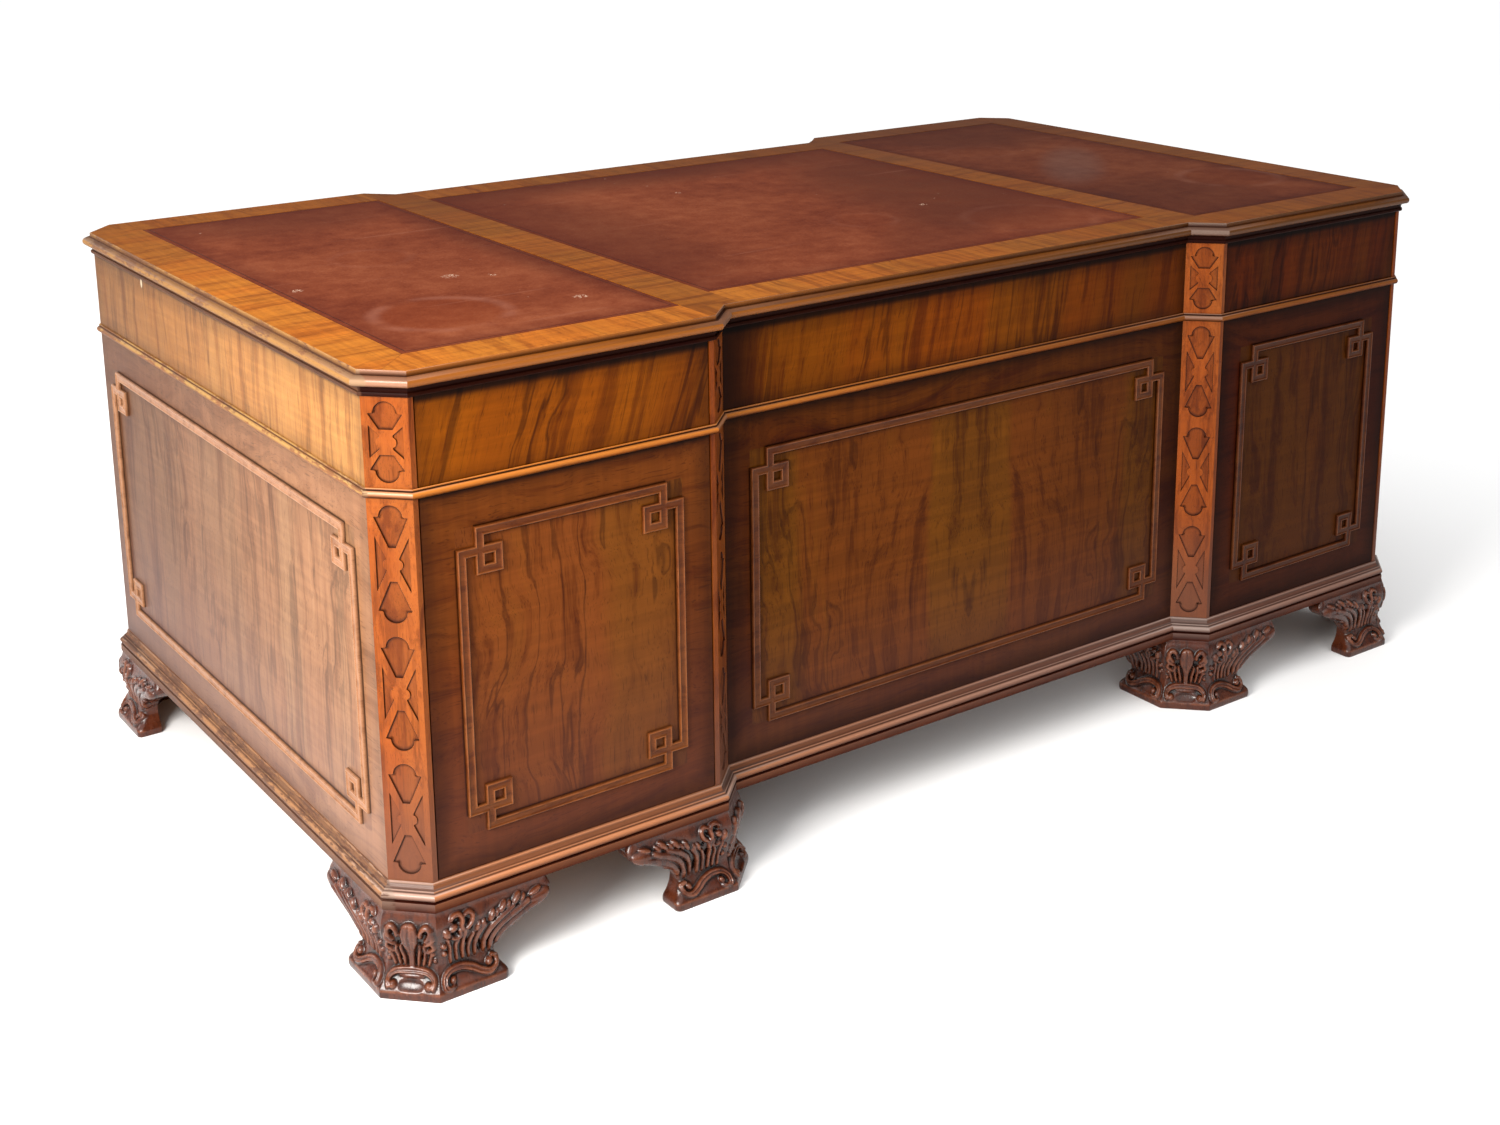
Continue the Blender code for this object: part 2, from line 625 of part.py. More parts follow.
def make_frieze_frame():
    """The frame that carries the frieze drawers, with its two partitions."""
    name = "frieze_drawer_frame"
    ladder = prism_mesh(name, [frieze_frame_outline()], RAIL_HEIGHT)
    frame = add_object(name, moved_mesh(ladder, Matrix.Translation((0, 0, UPPER_START))), "drawer_walnut")
    back = HALF_DEPTH - RAIL_DEPTH
    front = -(INNER_DEPTH - MODESTY_THICKNESS - GAP) + FRAME_BACK_WIDTH
    bottom, top = UPPER_START - CUT_OVERRUN, UPPER_START + RAIL_HEIGHT + CUT_OVERRUN
    spans = {
        "left": (-OPENING_OUTER + RUNNER_REACH, -OPENING_INNER - RUNNER_REACH),
        "centre": (-KNEE_HALF + RUNNER_REACH, KNEE_HALF - RUNNER_REACH),
        "right": (OPENING_INNER + RUNNER_REACH, OPENING_OUTER - RUNNER_REACH),
    }
    for side, (start, end) in spans.items():
        opening = box_mesh(name + "_opening_" + side, (start, front, bottom), (end, back, top))
        combine(frame, add_cutter(opening.name, opening), "DIFFERENCE")
    depth = INNER_DEPTH - 2 * GAP
    for side, sign in (("left", -1), ("right", 1)):
        walls = sorted((sign * (KNEE_HALF + GAP), sign * (CARCASE_INNER - GAP)))
        low = (walls[0], -depth, UPPER_START + RAIL_HEIGHT / 2)
        partition = box_mesh("frieze_partition_" + side, low, (walls[1], depth, POST_TOP))
        combine(frame, add_cutter(partition.name, partition), "UNION")


def pedestal_ring_outline():
    """Plan of one level of a pedestal's drawer frame, with the rail at the user's side."""
    behind_posts = HALF_DEPTH - POST_BACK - GAP
    inner, outer = CARCASE_INNER + GAP, CARCASE_OUTER - GAP
    return [
        (inner, -behind_posts), (outer, -behind_posts), (outer, behind_posts),
        (OPENING_OUTER - GAP, behind_posts), (OPENING_OUTER - GAP, HALF_DEPTH),
        (OPENING_INNER + GAP, HALF_DEPTH), (OPENING_INNER + GAP, behind_posts), (inner, behind_posts),
    ]


def drawer_levels(shares):
    """Bottom and height of each drawer opening in a pedestal, from the top one down."""
    top = LOWER_END - RAIL_HEIGHT
    bottom = POST_BOTTOM + RAIL_HEIGHT
    free = top - bottom - RAIL_HEIGHT * (len(shares) - 1)
    levels = []
    for share in shares:
        height = free * share
        levels.append((top - height, height))
        top -= height + RAIL_HEIGHT
    return levels


def make_pedestal_frame(side, sign, shares):
    """Rails and runners of one pedestal, tied together by two stiles behind the posts."""
    name = "drawer_frame_" + side
    bottoms = [level - RAIL_HEIGHT for level, _ in drawer_levels(shares)] + [LOWER_END - RAIL_HEIGHT]
    rings = []
    for bottom in bottoms:
        ring = prism_mesh(name + "_ring", [pedestal_ring_outline()], RAIL_HEIGHT)
        rings.append(moved_mesh(ring, Matrix.Translation((0, 0, bottom))))
    near, far = HALF_DEPTH - RAIL_DEPTH, HALF_DEPTH - POST_BACK - GAP
    foot, head = min(bottoms) + RAIL_HEIGHT / 2, max(bottoms) + RAIL_HEIGHT / 2
    stiles = []
    for start, end in ((CARCASE_INNER + GAP, OPENING_INNER), (OPENING_OUTER, CARCASE_OUTER - GAP)):
        low = (start + STILE_INSET, near + STILE_INSET, foot)
        stiles.append(box_mesh(name + "_stile", low, (end - STILE_INSET, far - STILE_INSET, head)))
    low = (OPENING_INNER + RUNNER_REACH, -far + FRAME_BACK_WIDTH, POST_BOTTOM - CUT_OVERRUN)
    opening = box_mesh(name + "_opening", low, (OPENING_OUTER - RUNNER_REACH, near, WAIST_LEVEL))
    meshes = [join_meshes(name, rings), join_meshes(name + "_stiles", stiles), opening]
    if sign < 0:
        for mesh in meshes:
            mesh.transform(Matrix.Diagonal((-1, 1, 1, 1)))
            mesh.flip_normals()
    frame = add_object(name, meshes[0], "drawer_walnut")
    combine(frame, add_cutter(name + "_stiles", meshes[1]), "UNION")
    combine(frame, add_cutter(name + "_opening", opening), "DIFFERENCE")


def drawer_mesh(name, width, height):
    """A drawer's front board with its face edges chamfered. The middle of its lower edge is the origin."""
    board = box_mesh(name, (-width / 2, -DRAWER_FRONT_THICKNESS, 0), (width / 2, 0, height))
    return bevel_front(board, DRAWER_EDGE_CHAMFER, lambda point: point.y > -DRAWER_EDGE_CHAMFER)


def make_knob(name, drawer, x, z):
    """A turned knob with a small rose, fixed to a drawer's front."""
    profile = bmesh.new()
    points = [(KNOB_RADIUS * out, 0, GAP + KNOB_LENGTH * up) for out, up in KNOB_SHARES]
    verts = [profile.verts.new(point) for point in points]
    for first, second in zip(verts, verts[1:]):
        profile.edges.new((first, second))
    mesh = bpy.data.meshes.new(name)
    profile.to_mesh(mesh)
    profile.free()
    knob = add_object(name, mesh, "brass")
    turning = knob.modifiers.new("turning", "SCREW")
    turning.axis = "Z"
    turning.steps = KNOB_STEPS
    turning.render_steps = KNOB_STEPS
    turning.use_merge_vertices = True
    turning.merge_threshold = GAP / 10
    turning.use_smooth_shade = True
    knob.parent = drawer
    knob.location = (x, 0, z)
    knob.rotation_euler = (-math.pi / 2, 0, 0)


def make_drawer(name, place, opening_width, opening_height, knobs):
    """A drawer in its opening, with one or two knobs. The place is the opening's lower middle."""
    width = opening_width - 2 * DRAWER_SIDE_CLEARANCE
    height = opening_height - DRAWER_TOP_CLEARANCE - DRAWER_RUN_CLEARANCE
    drawer = add_object(name, drawer_mesh(name, width, height), "drawer_walnut")
    drawer.location = (place[0], place[1], place[2] + DRAWER_RUN_CLEARANCE)
    outside = width / 2 - DRAWER_FRONT_LIP
    inside = outside - DRAWER_WALL
    side_height = height - DRAWER_SIDE_DROP
    solids = (
        ("_box", (-outside, -DRAWER_LENGTH, 0), (outside, -DRAWER_FRONT_THICKNESS / 2, side_height), "UNION"),
        ("_pocket", (-inside, -DRAWER_LENGTH + DRAWER_WALL, DRAWER_BOTTOM),
         (inside, -DRAWER_FRONT_THICKNESS, height + CUT_OVERRUN), "DIFFERENCE"),
    )
    for suffix, low, high, operation in solids:
        cutter = add_cutter(name + suffix, box_mesh(name + suffix, low, high))
        cutter.parent = drawer
        combine(drawer, cutter, operation)
    for knob, share in knobs:
        make_knob(knob, drawer, share * width / 2, height / 2)


def make_drawers():
    """Three drawers in the frieze and five in the pedestals."""
    frieze_bottom = UPPER_START + RAIL_HEIGHT
    frieze_opening = TOP_UNDERSIDE - frieze_bottom
    side_width = OPENING_OUTER - OPENING_INNER
    middle_knobs = (
        ("knob_frieze_centre_left", -CENTRE_KNOB_SHARE), ("knob_frieze_centre_right", CENTRE_KNOB_SHARE),
    )
    place = (0, INNER_DEPTH, frieze_bottom)
    make_drawer("frieze_drawer_centre", place, KNEEHOLE_WIDTH, frieze_opening, middle_knobs)
    stacks = {
        "left": (-1, LEFT_DRAWER_SHARES, ("drawer_left_top", "drawer_left_middle", "drawer_left_bottom")),
        "right": (1, RIGHT_DRAWER_SHARES, ("drawer_right_top", "drawer_right_file")),
    }
    for side, (sign, shares, names) in stacks.items():
        x = sign * PEDESTAL_MIDDLE
        name = "frieze_drawer_" + side
        knobs = (("knob_frieze_" + side, 0),)
        make_drawer(name, (x, HALF_DEPTH, frieze_bottom), side_width, frieze_opening, knobs)
        make_pedestal_frame(side, sign, shares)
        for name, (bottom, height) in zip(names, drawer_levels(shares)):
            knobs = ((name.replace("drawer", "knob"), 0),)
            make_drawer(name, (x, HALF_DEPTH, bottom), side_width, height, knobs)


clear_scene()
DESK = new_collection("pedestal_desk")
CUTTERS = new_collection("cutters")
make_top()
make_waist()
make_plinth()
make_boards()
make_posts()
make_feet()
make_key_frames()
make_frieze_frame()
make_drawers()
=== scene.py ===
"""A walnut pedestal desk with a leather top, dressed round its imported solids.

Metres, +Z up. X runs along the desk, the visitor's side faces -Y and the drawers face +Y.
Every new piece is a surface worked out with numpy and keeps the place of the solid it stands for.
"""
import math

import bpy
import numpy as np
from mathutils.geometry import delaunay_2d_cdt
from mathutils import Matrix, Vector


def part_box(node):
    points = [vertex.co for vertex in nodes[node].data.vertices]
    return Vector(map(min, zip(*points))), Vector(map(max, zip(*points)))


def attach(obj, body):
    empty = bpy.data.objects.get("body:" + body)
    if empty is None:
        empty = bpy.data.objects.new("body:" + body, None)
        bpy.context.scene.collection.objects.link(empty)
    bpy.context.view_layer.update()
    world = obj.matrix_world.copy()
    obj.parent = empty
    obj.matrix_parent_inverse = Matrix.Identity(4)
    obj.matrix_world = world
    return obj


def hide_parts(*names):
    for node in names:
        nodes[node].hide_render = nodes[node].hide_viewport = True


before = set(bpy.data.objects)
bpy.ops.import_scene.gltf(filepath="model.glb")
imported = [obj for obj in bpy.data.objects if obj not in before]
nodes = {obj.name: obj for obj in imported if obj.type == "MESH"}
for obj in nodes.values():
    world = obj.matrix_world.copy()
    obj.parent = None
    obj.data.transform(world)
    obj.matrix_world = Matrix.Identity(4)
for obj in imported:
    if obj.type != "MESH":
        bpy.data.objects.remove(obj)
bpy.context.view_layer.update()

# Sizes of the body that the mouldings run round, and the levels of its parts
HALF_LENGTH = 0.9157
HALF_DEPTH = 0.5088
KNEE_HALF = 0.4229
CANT = 0.0396
INNER_DEPTH = HALF_DEPTH - CANT
DESK_TOP = 0.78
TOP_UNDERSIDE = 0.7486
WAIST_BOTTOM = 0.6275
WAIST_TOP = 0.6397
PLINTH_BOTTOM = 0.1117
PLINTH_TOP = 0.1462
PLINTH_RAIL_BACK = 0.045 - INNER_DEPTH
GAP = 0.0003
# Plan of a quarter of the body, from the kneehole round to the end
QUARTER = np.array(((KNEE_HALF, INNER_DEPTH), (KNEE_HALF + CANT, HALF_DEPTH),
                    (HALF_LENGTH - CANT, HALF_DEPTH), (HALF_LENGTH, INNER_DEPTH)))
# How much light reaches each side, the hides and the canted mouldings, and the sheen that lies over all
END, NEAR, MIDDLE, FAR, ABOVE, CORNER, UNDER = 2.9, 1.75, 1.35, 1.2, 1.9, 1.9, 1.5
# FAR_HIDE, set above the light that reaches the right hide, darkens its tones: painted shade
HIDE, FAR_HIDE, CANTED = 1.7, 2.6, 2.6
SHEEN = 0.011


# Shader maths

class Value:
    """A number or vector that varies over a surface. Sums on it add Math nodes to its finish."""

    def __init__(self, finish, socket):
        self.finish = finish
        self.socket = socket

    def maths(self, operation, *numbers):
        """A Math node of these numbers."""
        return self.finish.node("ShaderNodeMath", {"operation": operation}, dict(enumerate(numbers)))

    def __add__(self, other):
        return self.maths("ADD", self, other)

    def __sub__(self, other):
        return self.maths("SUBTRACT", self, other)

    def __rsub__(self, other):
        return self.maths("SUBTRACT", other, self)

    def __mul__(self, other):
        return self.maths("MULTIPLY", self, other)

    def __truediv__(self, other):
        return self.maths("DIVIDE", self, other)

    def __pow__(self, other):
        return self.maths("POWER", self, other)

    def __abs__(self):
        return self.maths("ABSOLUTE", self)

    def least(self, other):
        """The smaller of two."""
        return self.maths("MINIMUM", self, other)

    def most(self, other):
        """The larger of two."""
        return self.maths("MAXIMUM", self, other)

    def above(self, other):
        """1 where this is larger, else 0."""
        return self.maths("GREATER_THAN", self, other)

    def rise(self, start, end):
        """Eases from 0 at start to 1 at end; a start above the end falls instead."""
        sockets = {"Value": self, "From Min": start, "From Max": end}
        return self.finish.node("ShaderNodeMapRange", {"interpolation_type": "SMOOTHSTEP"}, sockets)

    __radd__ = __add__
    __rmul__ = __mul__


class Finish:
    """One node-based finish. Numbers that are the same all over go straight on the shader."""

    def __init__(self, name, **constants):
        self.material = bpy.data.materials.new(name)
        self.material.use_nodes = True
        self.tree = self.material.node_tree
        self.shader = self.tree.nodes["Principled BSDF"]
        for socket, value in constants.items():
            self.shader.inputs[socket.replace("_", " ")].default_value = value

    def node(self, kind, settings=None, sockets=None, output=0):
        """Adds a node: its settings first, then the values or links of its sockets."""
        made = self.tree.nodes.new(kind)
        for setting, value in (settings or {}).items():
            if setting == "stops":
                ramp = made.color_ramp.elements
                while len(ramp) < len(value):
                    ramp.new(1.0)
                for element, (position, colour) in zip(ramp, value):
                    element.position = position
                    element.color = colour
            else:
                setattr(made, setting, value)
        for socket, value in (sockets or {}).items():
            if isinstance(value, Value):
                self.tree.links.new(value.socket, made.inputs[socket])
            else:
                made.inputs[socket].default_value = value
        return Value(self, made.outputs[output])

    def place(self):
        """Object coordinates, which are metres in the desk's frame."""
        return self.node("ShaderNodeTexCoord", output="Object")

    def run(self):
        """The piece's own map: metres along its run and metres round its profile."""
        return self.node("ShaderNodeUVMap", {"uv_map": "run"})

    def mark(self, name):
        """A number painted on the piece's points."""
        return self.node("ShaderNodeAttribute", {"attribute_name": name}, output="Fac")

    def parts(self, vector):
        """The three numbers of a vector."""
        first = self.node("ShaderNodeSeparateXYZ", None, {"Vector": vector})
        outputs = first.socket.node.outputs
        return [Value(self, outputs[index]) for index in range(3)]

    def vector(self, operation, *vectors):
        """A Vector Math node."""
        return self.node("ShaderNodeVectorMath", {"operation": operation}, dict(enumerate(vectors)))

    def noise(self, place, scale, detail=2.0, roughness=0.5, distortion=0.0, shift=(0, 0, 0)):
        """Cloudy noise, 0 to 1, of a place times a scale, one number or three, and moved by a shift."""
        scales = scale if isinstance(scale, (tuple, list)) else (scale, scale, scale)
        sockets = {"Vector": self.vector("MULTIPLY_ADD", place, scales, shift), "Scale": 1.0, "Detail": detail,
                   "Roughness": roughness, "Distortion": distortion}
        return self.node("ShaderNodeTexNoise", None, sockets)

    def joined(self, x, y, z):
        """A vector of three numbers."""
        return self.node("ShaderNodeCombineXYZ", None, {0: x, 1: y, 2: z})

    def mix(self, share, first, second, blend="MIX"):
        """A colour between two, or the second blended on the first."""
        settings = {"data_type": "RGBA", "blend_type": blend}
        return self.node("ShaderNodeMix", settings, {0: share, 6: first, 7: second}, 2)

    def swap(self, share, first, second):
        """The first vector where share is 0 and the second where it is 1."""
        return self.node("ShaderNodeMix", {"data_type": "VECTOR"}, {0: share, 4: first, 5: second}, 1)

    def ramp(self, value, *stops):
        """A colour from a number, by stops of a position and a colour."""
        return self.node("ShaderNodeValToRGB", {"stops": stops}, {0: value})

    def coat(self, colour, roughness, relief=None, depth=0.0002, strength=0.35, polish=None):
        """Links the colour, the roughness, a coat of polish and the relief, a height in shares of the depth."""
        linked = {"Base Color": colour, "Roughness": roughness, "Coat Weight": polish}
        if relief is not None:
            sockets = {"Strength": strength, "Distance": depth, "Height": relief}
            linked["Normal"] = self.node("ShaderNodeBump", None, sockets)
        for socket, value in linked.items():
            if value is not None:
                self.tree.links.new(value.socket, self.shader.inputs[socket])
        return self.material


def tone(red, green, blue, light=1.0):
    """The linear colour that looks like this one of 0 to 255 under that much light and the sheen."""
    share = np.array((red, green, blue)) / 255
    linear = np.where(share <= 0.04045, share / 12.92, ((share + 0.055) / 1.055) ** 2.4)
    return (*(np.maximum(linear - SHEEN, linear * 0.12) / light).tolist(), 1.0)


def shades(light, *colours):
    """The tones of several colours seen under the same light."""
    return [tone(*colour, light) for colour in colours]


def walnut(f, place, tones, grain, bold, ripple, seed, size=1.0, drift=None, lines=46.0, sway=1.0):
    """Colour and relief of polished walnut, from a deep, a rusty and an olive tone.

    Noise drawn out along the grain bends all that follows by its sway: fields of rusty and olive (moved by
    drift), streaks, growth lines along the contours of a slow noise, thin dark veins, a ripple across the
    grain, and pores.
    """
    axis = "XYZ".index(grain)

    def drawn(frequency, share, source, shift, *kind):
        """Noise of this frequency, and of a share of it along the grain."""
        factors = [frequency / size] * 3
        factors[axis] *= share
        return f.noise(source, factors, *kind, shift=(seed + shift, 1.7 * seed, 0.6 * seed - shift))

    figure = drawn(4.5, 0.6, place, 0.0, 3.0, 0.5, 0.5)
    push = [0.15 * size * sway] * 3
    push[axis] = 0.0
    bent = f.vector("MULTIPLY_ADD", figure, push, place)
    deep, rusty, olive = tones
    ink = (*(0.22 * share for share in deep[:3]), 1.0)
    pale = (*(1.35 * share for share in olive[:3]), 1.0)
    field = drawn(7.0, 0.14, bent, 5.0)
    if drift is not None:
        field = field * 0.8 + drift
    colour = f.mix(field.rise(0.40, 0.60), rusty, olive)
    streak = drawn(38.0, 0.05, bent, 0.0, 4.0, 0.65)
    colour = f.mix(streak.rise(0.54, 0.34) * 0.6, colour, deep)
    colour = f.mix(streak.rise(0.55, 0.72) * 0.35, colour, pale)
    growth = (drawn(2.8, 0.13 * sway, bent, 3.0, 4.0, 0.45, 0.2) * lines * 1.4).maths("SINE")
    patch = drawn(5.0, 0.3, place, 11.0, 1.0).rise(0.40, 0.66)
    colour = f.mix(growth.rise(0.35, 1.0) * patch * bold * 0.8, colour, ink)
    vein = abs(drawn(8.0, 0.07, bent, 9.0, 4.0, 0.65) - 0.5).rise(0.018, 0.003)
    colour = f.mix(vein * bold * 0.6, colour, ink)
    fleck = drawn(150.0, 0.07, bent, 2.0).rise(0.58, 0.74)
    colour = f.mix(fleck * 0.35, colour, deep)
    bars = [6.0 / size] * 3
    bars[axis] = 95.0 / size
    wave = f.noise(bent, bars, 2.0, 0.6, shift=(seed, seed, seed))
    lift = f.mix(wave.rise(0.38, 0.66), (0.78, 0.76, 0.74, 1.0), (1.14, 1.13, 1.12, 1.0))
    colour = f.mix(ripple, colour, lift, "MULTIPLY")
    pore = drawn(700.0, 0.03, bent, 0.0, 1.0).rise(0.58, 0.72)
    colour = f.mix(pore * 0.4, colour, ink)
    return colour, 0.5 - pore * 0.5 + streak * 0.1


# Meshes

def placed(name, data):
    """A new object of this data in the scene."""
    made = bpy.data.objects.new(name, data)
    bpy.context.scene.collection.objects.link(made)
    return made


def weave(rows, columns, round_rows=False, round_columns=False):
    """Quads of a grid of points, and the grid place of each of their corners before it wraps."""
    row, column = np.meshgrid(np.arange(rows - (not round_rows)), np.arange(columns - (not round_columns)),
                              indexing="ij")
    at = np.stack((row, column), -1).reshape(-1, 1, 2) + np.array(((0, 0), (1, 0), (1, 1), (0, 1)))
    return (at[..., 0] % rows) * columns + at[..., 1] % columns, at


def make_piece(name, points, faces, finishes, stands_for=(), body="desk", run=None, marks=None,
               which=None, bend=32):
    """A closed mesh of these points and faces, turned outwards by the sign of its volume.

    faces is a list of arrays with equal corners each; run gives each corner's place on the map, marks
    a number for each point, and which the finish of each face.
    """
    points = np.asarray(points, float).reshape(-1, 3)
    fans = [np.stack([np.repeat(f[:, :1], f.shape[1] - 2, 1), f[:, 1:-1], f[:, 2:]], -1).reshape(-1, 3)
            for f in faces]
    fan = points[np.concatenate(fans)]
    volume = np.einsum("ij,ij->i", fan[:, 0], np.cross(fan[:, 1], fan[:, 2])).sum()
    order = -1 if volume < 0 else 1
    corners = np.concatenate([f[:, ::order].ravel() for f in faces])
    sizes = np.concatenate([np.full(len(f), f.shape[1]) for f in faces])
    mesh = bpy.data.meshes.new(name)
    mesh.vertices.add(len(points))
    mesh.vertices.foreach_set("co", points.ravel())
    mesh.loops.add(len(corners))
    mesh.loops.foreach_set("vertex_index", corners)
    mesh.polygons.add(len(sizes))
    mesh.polygons.foreach_set("loop_start", np.concatenate(((0,), np.cumsum(sizes)[:-1])))
    if which is not None:
        mesh.polygons.foreach_set("material_index", np.asarray(which, int))
    if run is not None:
        spots = np.concatenate([r[:, ::order].reshape(-1, 2) for r in run])
        mesh.uv_layers.new(name="run").data.foreach_set("uv", spots.ravel())
    for mark, values in (marks or {}).items():
        mesh.attributes.new(mark, "FLOAT", "POINT").data.foreach_set("value", np.ravel(values))
    mesh.update(calc_edges=True)
    mesh.polygons.foreach_set("use_smooth", np.ones(len(sizes), bool))
    mesh.set_sharp_from_angle(angle=math.radians(bend))
    made = placed(name, mesh)
    for finish in finishes:
        mesh.materials.append(finish)
    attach(made, body)
    if stands_for:
        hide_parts(*stands_for)


def arc(centre, radii, start, end, count):
    """Points of an elliptic arc between two angles in degrees."""
    angle = np.radians(np.linspace(start, end, count))
    return np.stack((centre[0] + radii[0] * np.cos(angle), centre[1] + radii[1] * np.sin(angle)), -1)


def bowed(points, count=28):
    """A smooth path through points: each span is the cubic that leaves and meets its ends along their neighbours."""
    points = np.array(points, float)
    ends = np.concatenate((2 * points[:1] - points[1:2], points, 2 * points[-1:] - points[-2:-1]))
    at = np.linspace(0, len(points) - 1 - 1e-9, count)
    i = at.astype(int)
    t = (at - i)[:, None]
    a, b, c, d = ends[i], ends[i + 1], ends[i + 2], ends[i + 3]
    return 0.5 * (2 * b + (c - a) * t + (2 * a - 5 * b + 4 * c - d) * t ** 2 + (3 * b - a - 3 * c + d) * t ** 3)


def levels(heights, *stops):
    """A mark for points by their height, from stops of a height and a share, going up."""
    places, shares = np.array(stops).T
    return np.interp(heights, places, shares)


def desk_outline(extra=()):
    """Plan of the body, counterclockwise, with the plinth's rail where extra gives its back."""
    return np.concatenate((QUARTER * (1, -1), QUARTER[::-1], np.array(extra).reshape(-1, 2), QUARTER * (-1, 1),
                           -QUARTER[::-1]))


def carried(outline, profile):
    """A profile of offsets and heights carried round a plan, with mitres.

    Each point is a corner plus its offset along the mitre, the sum of both sides' normals over one
    plus their product. The second result is the length along the plan up to each corner.
    """
    along = np.roll(outline, -1, 0) - outline
    length = np.linalg.norm(along, axis=1)
    along = along / length[:, None]
    after = np.stack((along[:, 1], -along[:, 0]), -1)
    before = np.roll(after, 1, 0)
    mitre = (before + after) / (1 + (before * after).sum(1))[:, None]
    plan = outline[:, None] + mitre[:, None] * profile[None, :, :1]
    height = np.broadcast_to(profile[None, :, 1:], plan.shape[:2] + (1,))
    started = np.concatenate(((0,), np.cumsum(length)))
    return np.concatenate((plan, height), -1), started


def run_map(started, profile, at, closed):
    """Each face corner's place on the map: length along the plan, shifted at each side, and round the profile."""
    loop = np.concatenate((profile, profile[:1])) if closed else profile
    around = np.concatenate(((0,), np.cumsum(np.linalg.norm(np.diff(loop, axis=0), axis=1))))
    side = at[..., 0].min(1, keepdims=True)
    return np.stack((started[at[..., 0]] + 0.71 * side, around[at[..., 1]]), -1)


# Finishes

def leather_finish(name, low, high, rings, seed, light, specks, patches):
    """Old red-brown hide: mottled, darker to the edges, a tooled line, pale rings, scuffs and fine grain.

    A ring is its place, radius, width and share; a speck its place and reach; a patch, painted shade where dark
    and a painted reflection where pale, its place, its reach both ways, its turn, its share and its colour.
    """
    f = Finish(name, Specular_IOR_Level=0.06)
    place = f.place()
    x, y, _ = f.parts(place)
    middle = (low + high) / 2
    half = (high - low) / 2

    def away(spot):
        """Distance on the hide from a spot."""
        across, along = x - spot[0], y - spot[1]
        return (across * across + along * along) ** 0.5

    edge = (half.x - abs(x - middle.x)).least(half.y - abs(y - middle.y))
    cloud = f.noise(place, 4.0, 3.0, 0.6, 0.4, shift=(seed, seed, 0))
    mottle = f.noise(place, 38.0, 3.0, 0.6, shift=(seed, seed, 0))
    dust = f.noise(place, 260.0, 3.0, 0.75, shift=(0, seed, 0))
    mixed = cloud * 0.45 + mottle * 0.3 + dust * 0.25
    colour = f.ramp(mixed, *zip((0.36, 0.5, 0.64), shades(light, (116, 52, 34), (141, 71, 46), (162, 90, 60))))
    # patches of painted shade, and where pale of painted reflection
    for spot_x, spot_y, wide, long, turn, share, veil in patches:
        cosine, sine = math.cos(turn), math.sin(turn)
        one = ((x - spot_x) * cosine + (y - spot_y) * sine) / wide
        two = ((y - spot_y) * cosine - (x - spot_x) * sine) / long
        colour = f.mix((one * one + two * two).rise(1.0, 0.0) * (mottle * 0.8 + 0.6) * share, colour, veil)
    colour = f.mix((edge + mottle * 0.03).rise(0.075, 0.01) * 0.5, colour, tone(92, 38, 30, light))
    line = abs(edge - 0.0085).rise(0.0011, 0.0005)
    colour = f.mix(line * 0.7, colour, tone(56, 22, 18, light))
    colour = f.mix(edge.rise(0.0016, 0.0004) * 0.8, colour, tone(44, 18, 14, light))
    broken = f.noise(place, 14.0).rise(0.3, 0.62)
    for *spot, radius, width, strength in rings:
        colour = f.mix(away(spot).rise(radius, radius * 0.8) * strength * 0.9, colour, tone(138, 60, 30, light))
        pale = abs(away(spot) - radius).rise(width, 0.0) * broken * strength
        colour = f.mix(pale, colour, tone(186, 122, 100, light))
    streak = f.noise(place, (3.0, 55.0, 1.0), 2.0, 0.6, shift=(seed, 0, 0)).rise(0.66, 0.78)
    colour = f.mix(streak * 0.14, colour, tone(196, 136, 112, light))
    colour = f.mix(dust.rise(0.62, 0.75) * 0.22, colour, tone(190, 132, 108, light))
    chip = f.noise(place, (95.0, 150.0, 95.0), 1.0, shift=(seed, 0, 0)).rise(0.77, 0.80)
    near = f.noise(place, 9.0, 1.0, shift=(2 * seed, 0, 0)).rise(0.58, 0.66)
    colour = f.mix(chip * near * 0.9, colour, tone(240, 196, 170, light))
    crumb = f.noise(place, 330.0, 1.0).rise(0.55, 0.60)
    for *spot, spread in specks:
        colour = f.mix(away(spot).rise(spread, spread * 0.5) * crumb, colour, tone(236, 196, 170, light))
    pebble = f.noise(place, 620.0, 2.0, 0.6)
    relief = pebble * 0.5 + mottle * 0.3 - line * 1.6 - chip * near
    return f.coat(colour, 0.43 + cloud * 0.16 - line * 0.1, relief, 0.0004, 0.5)


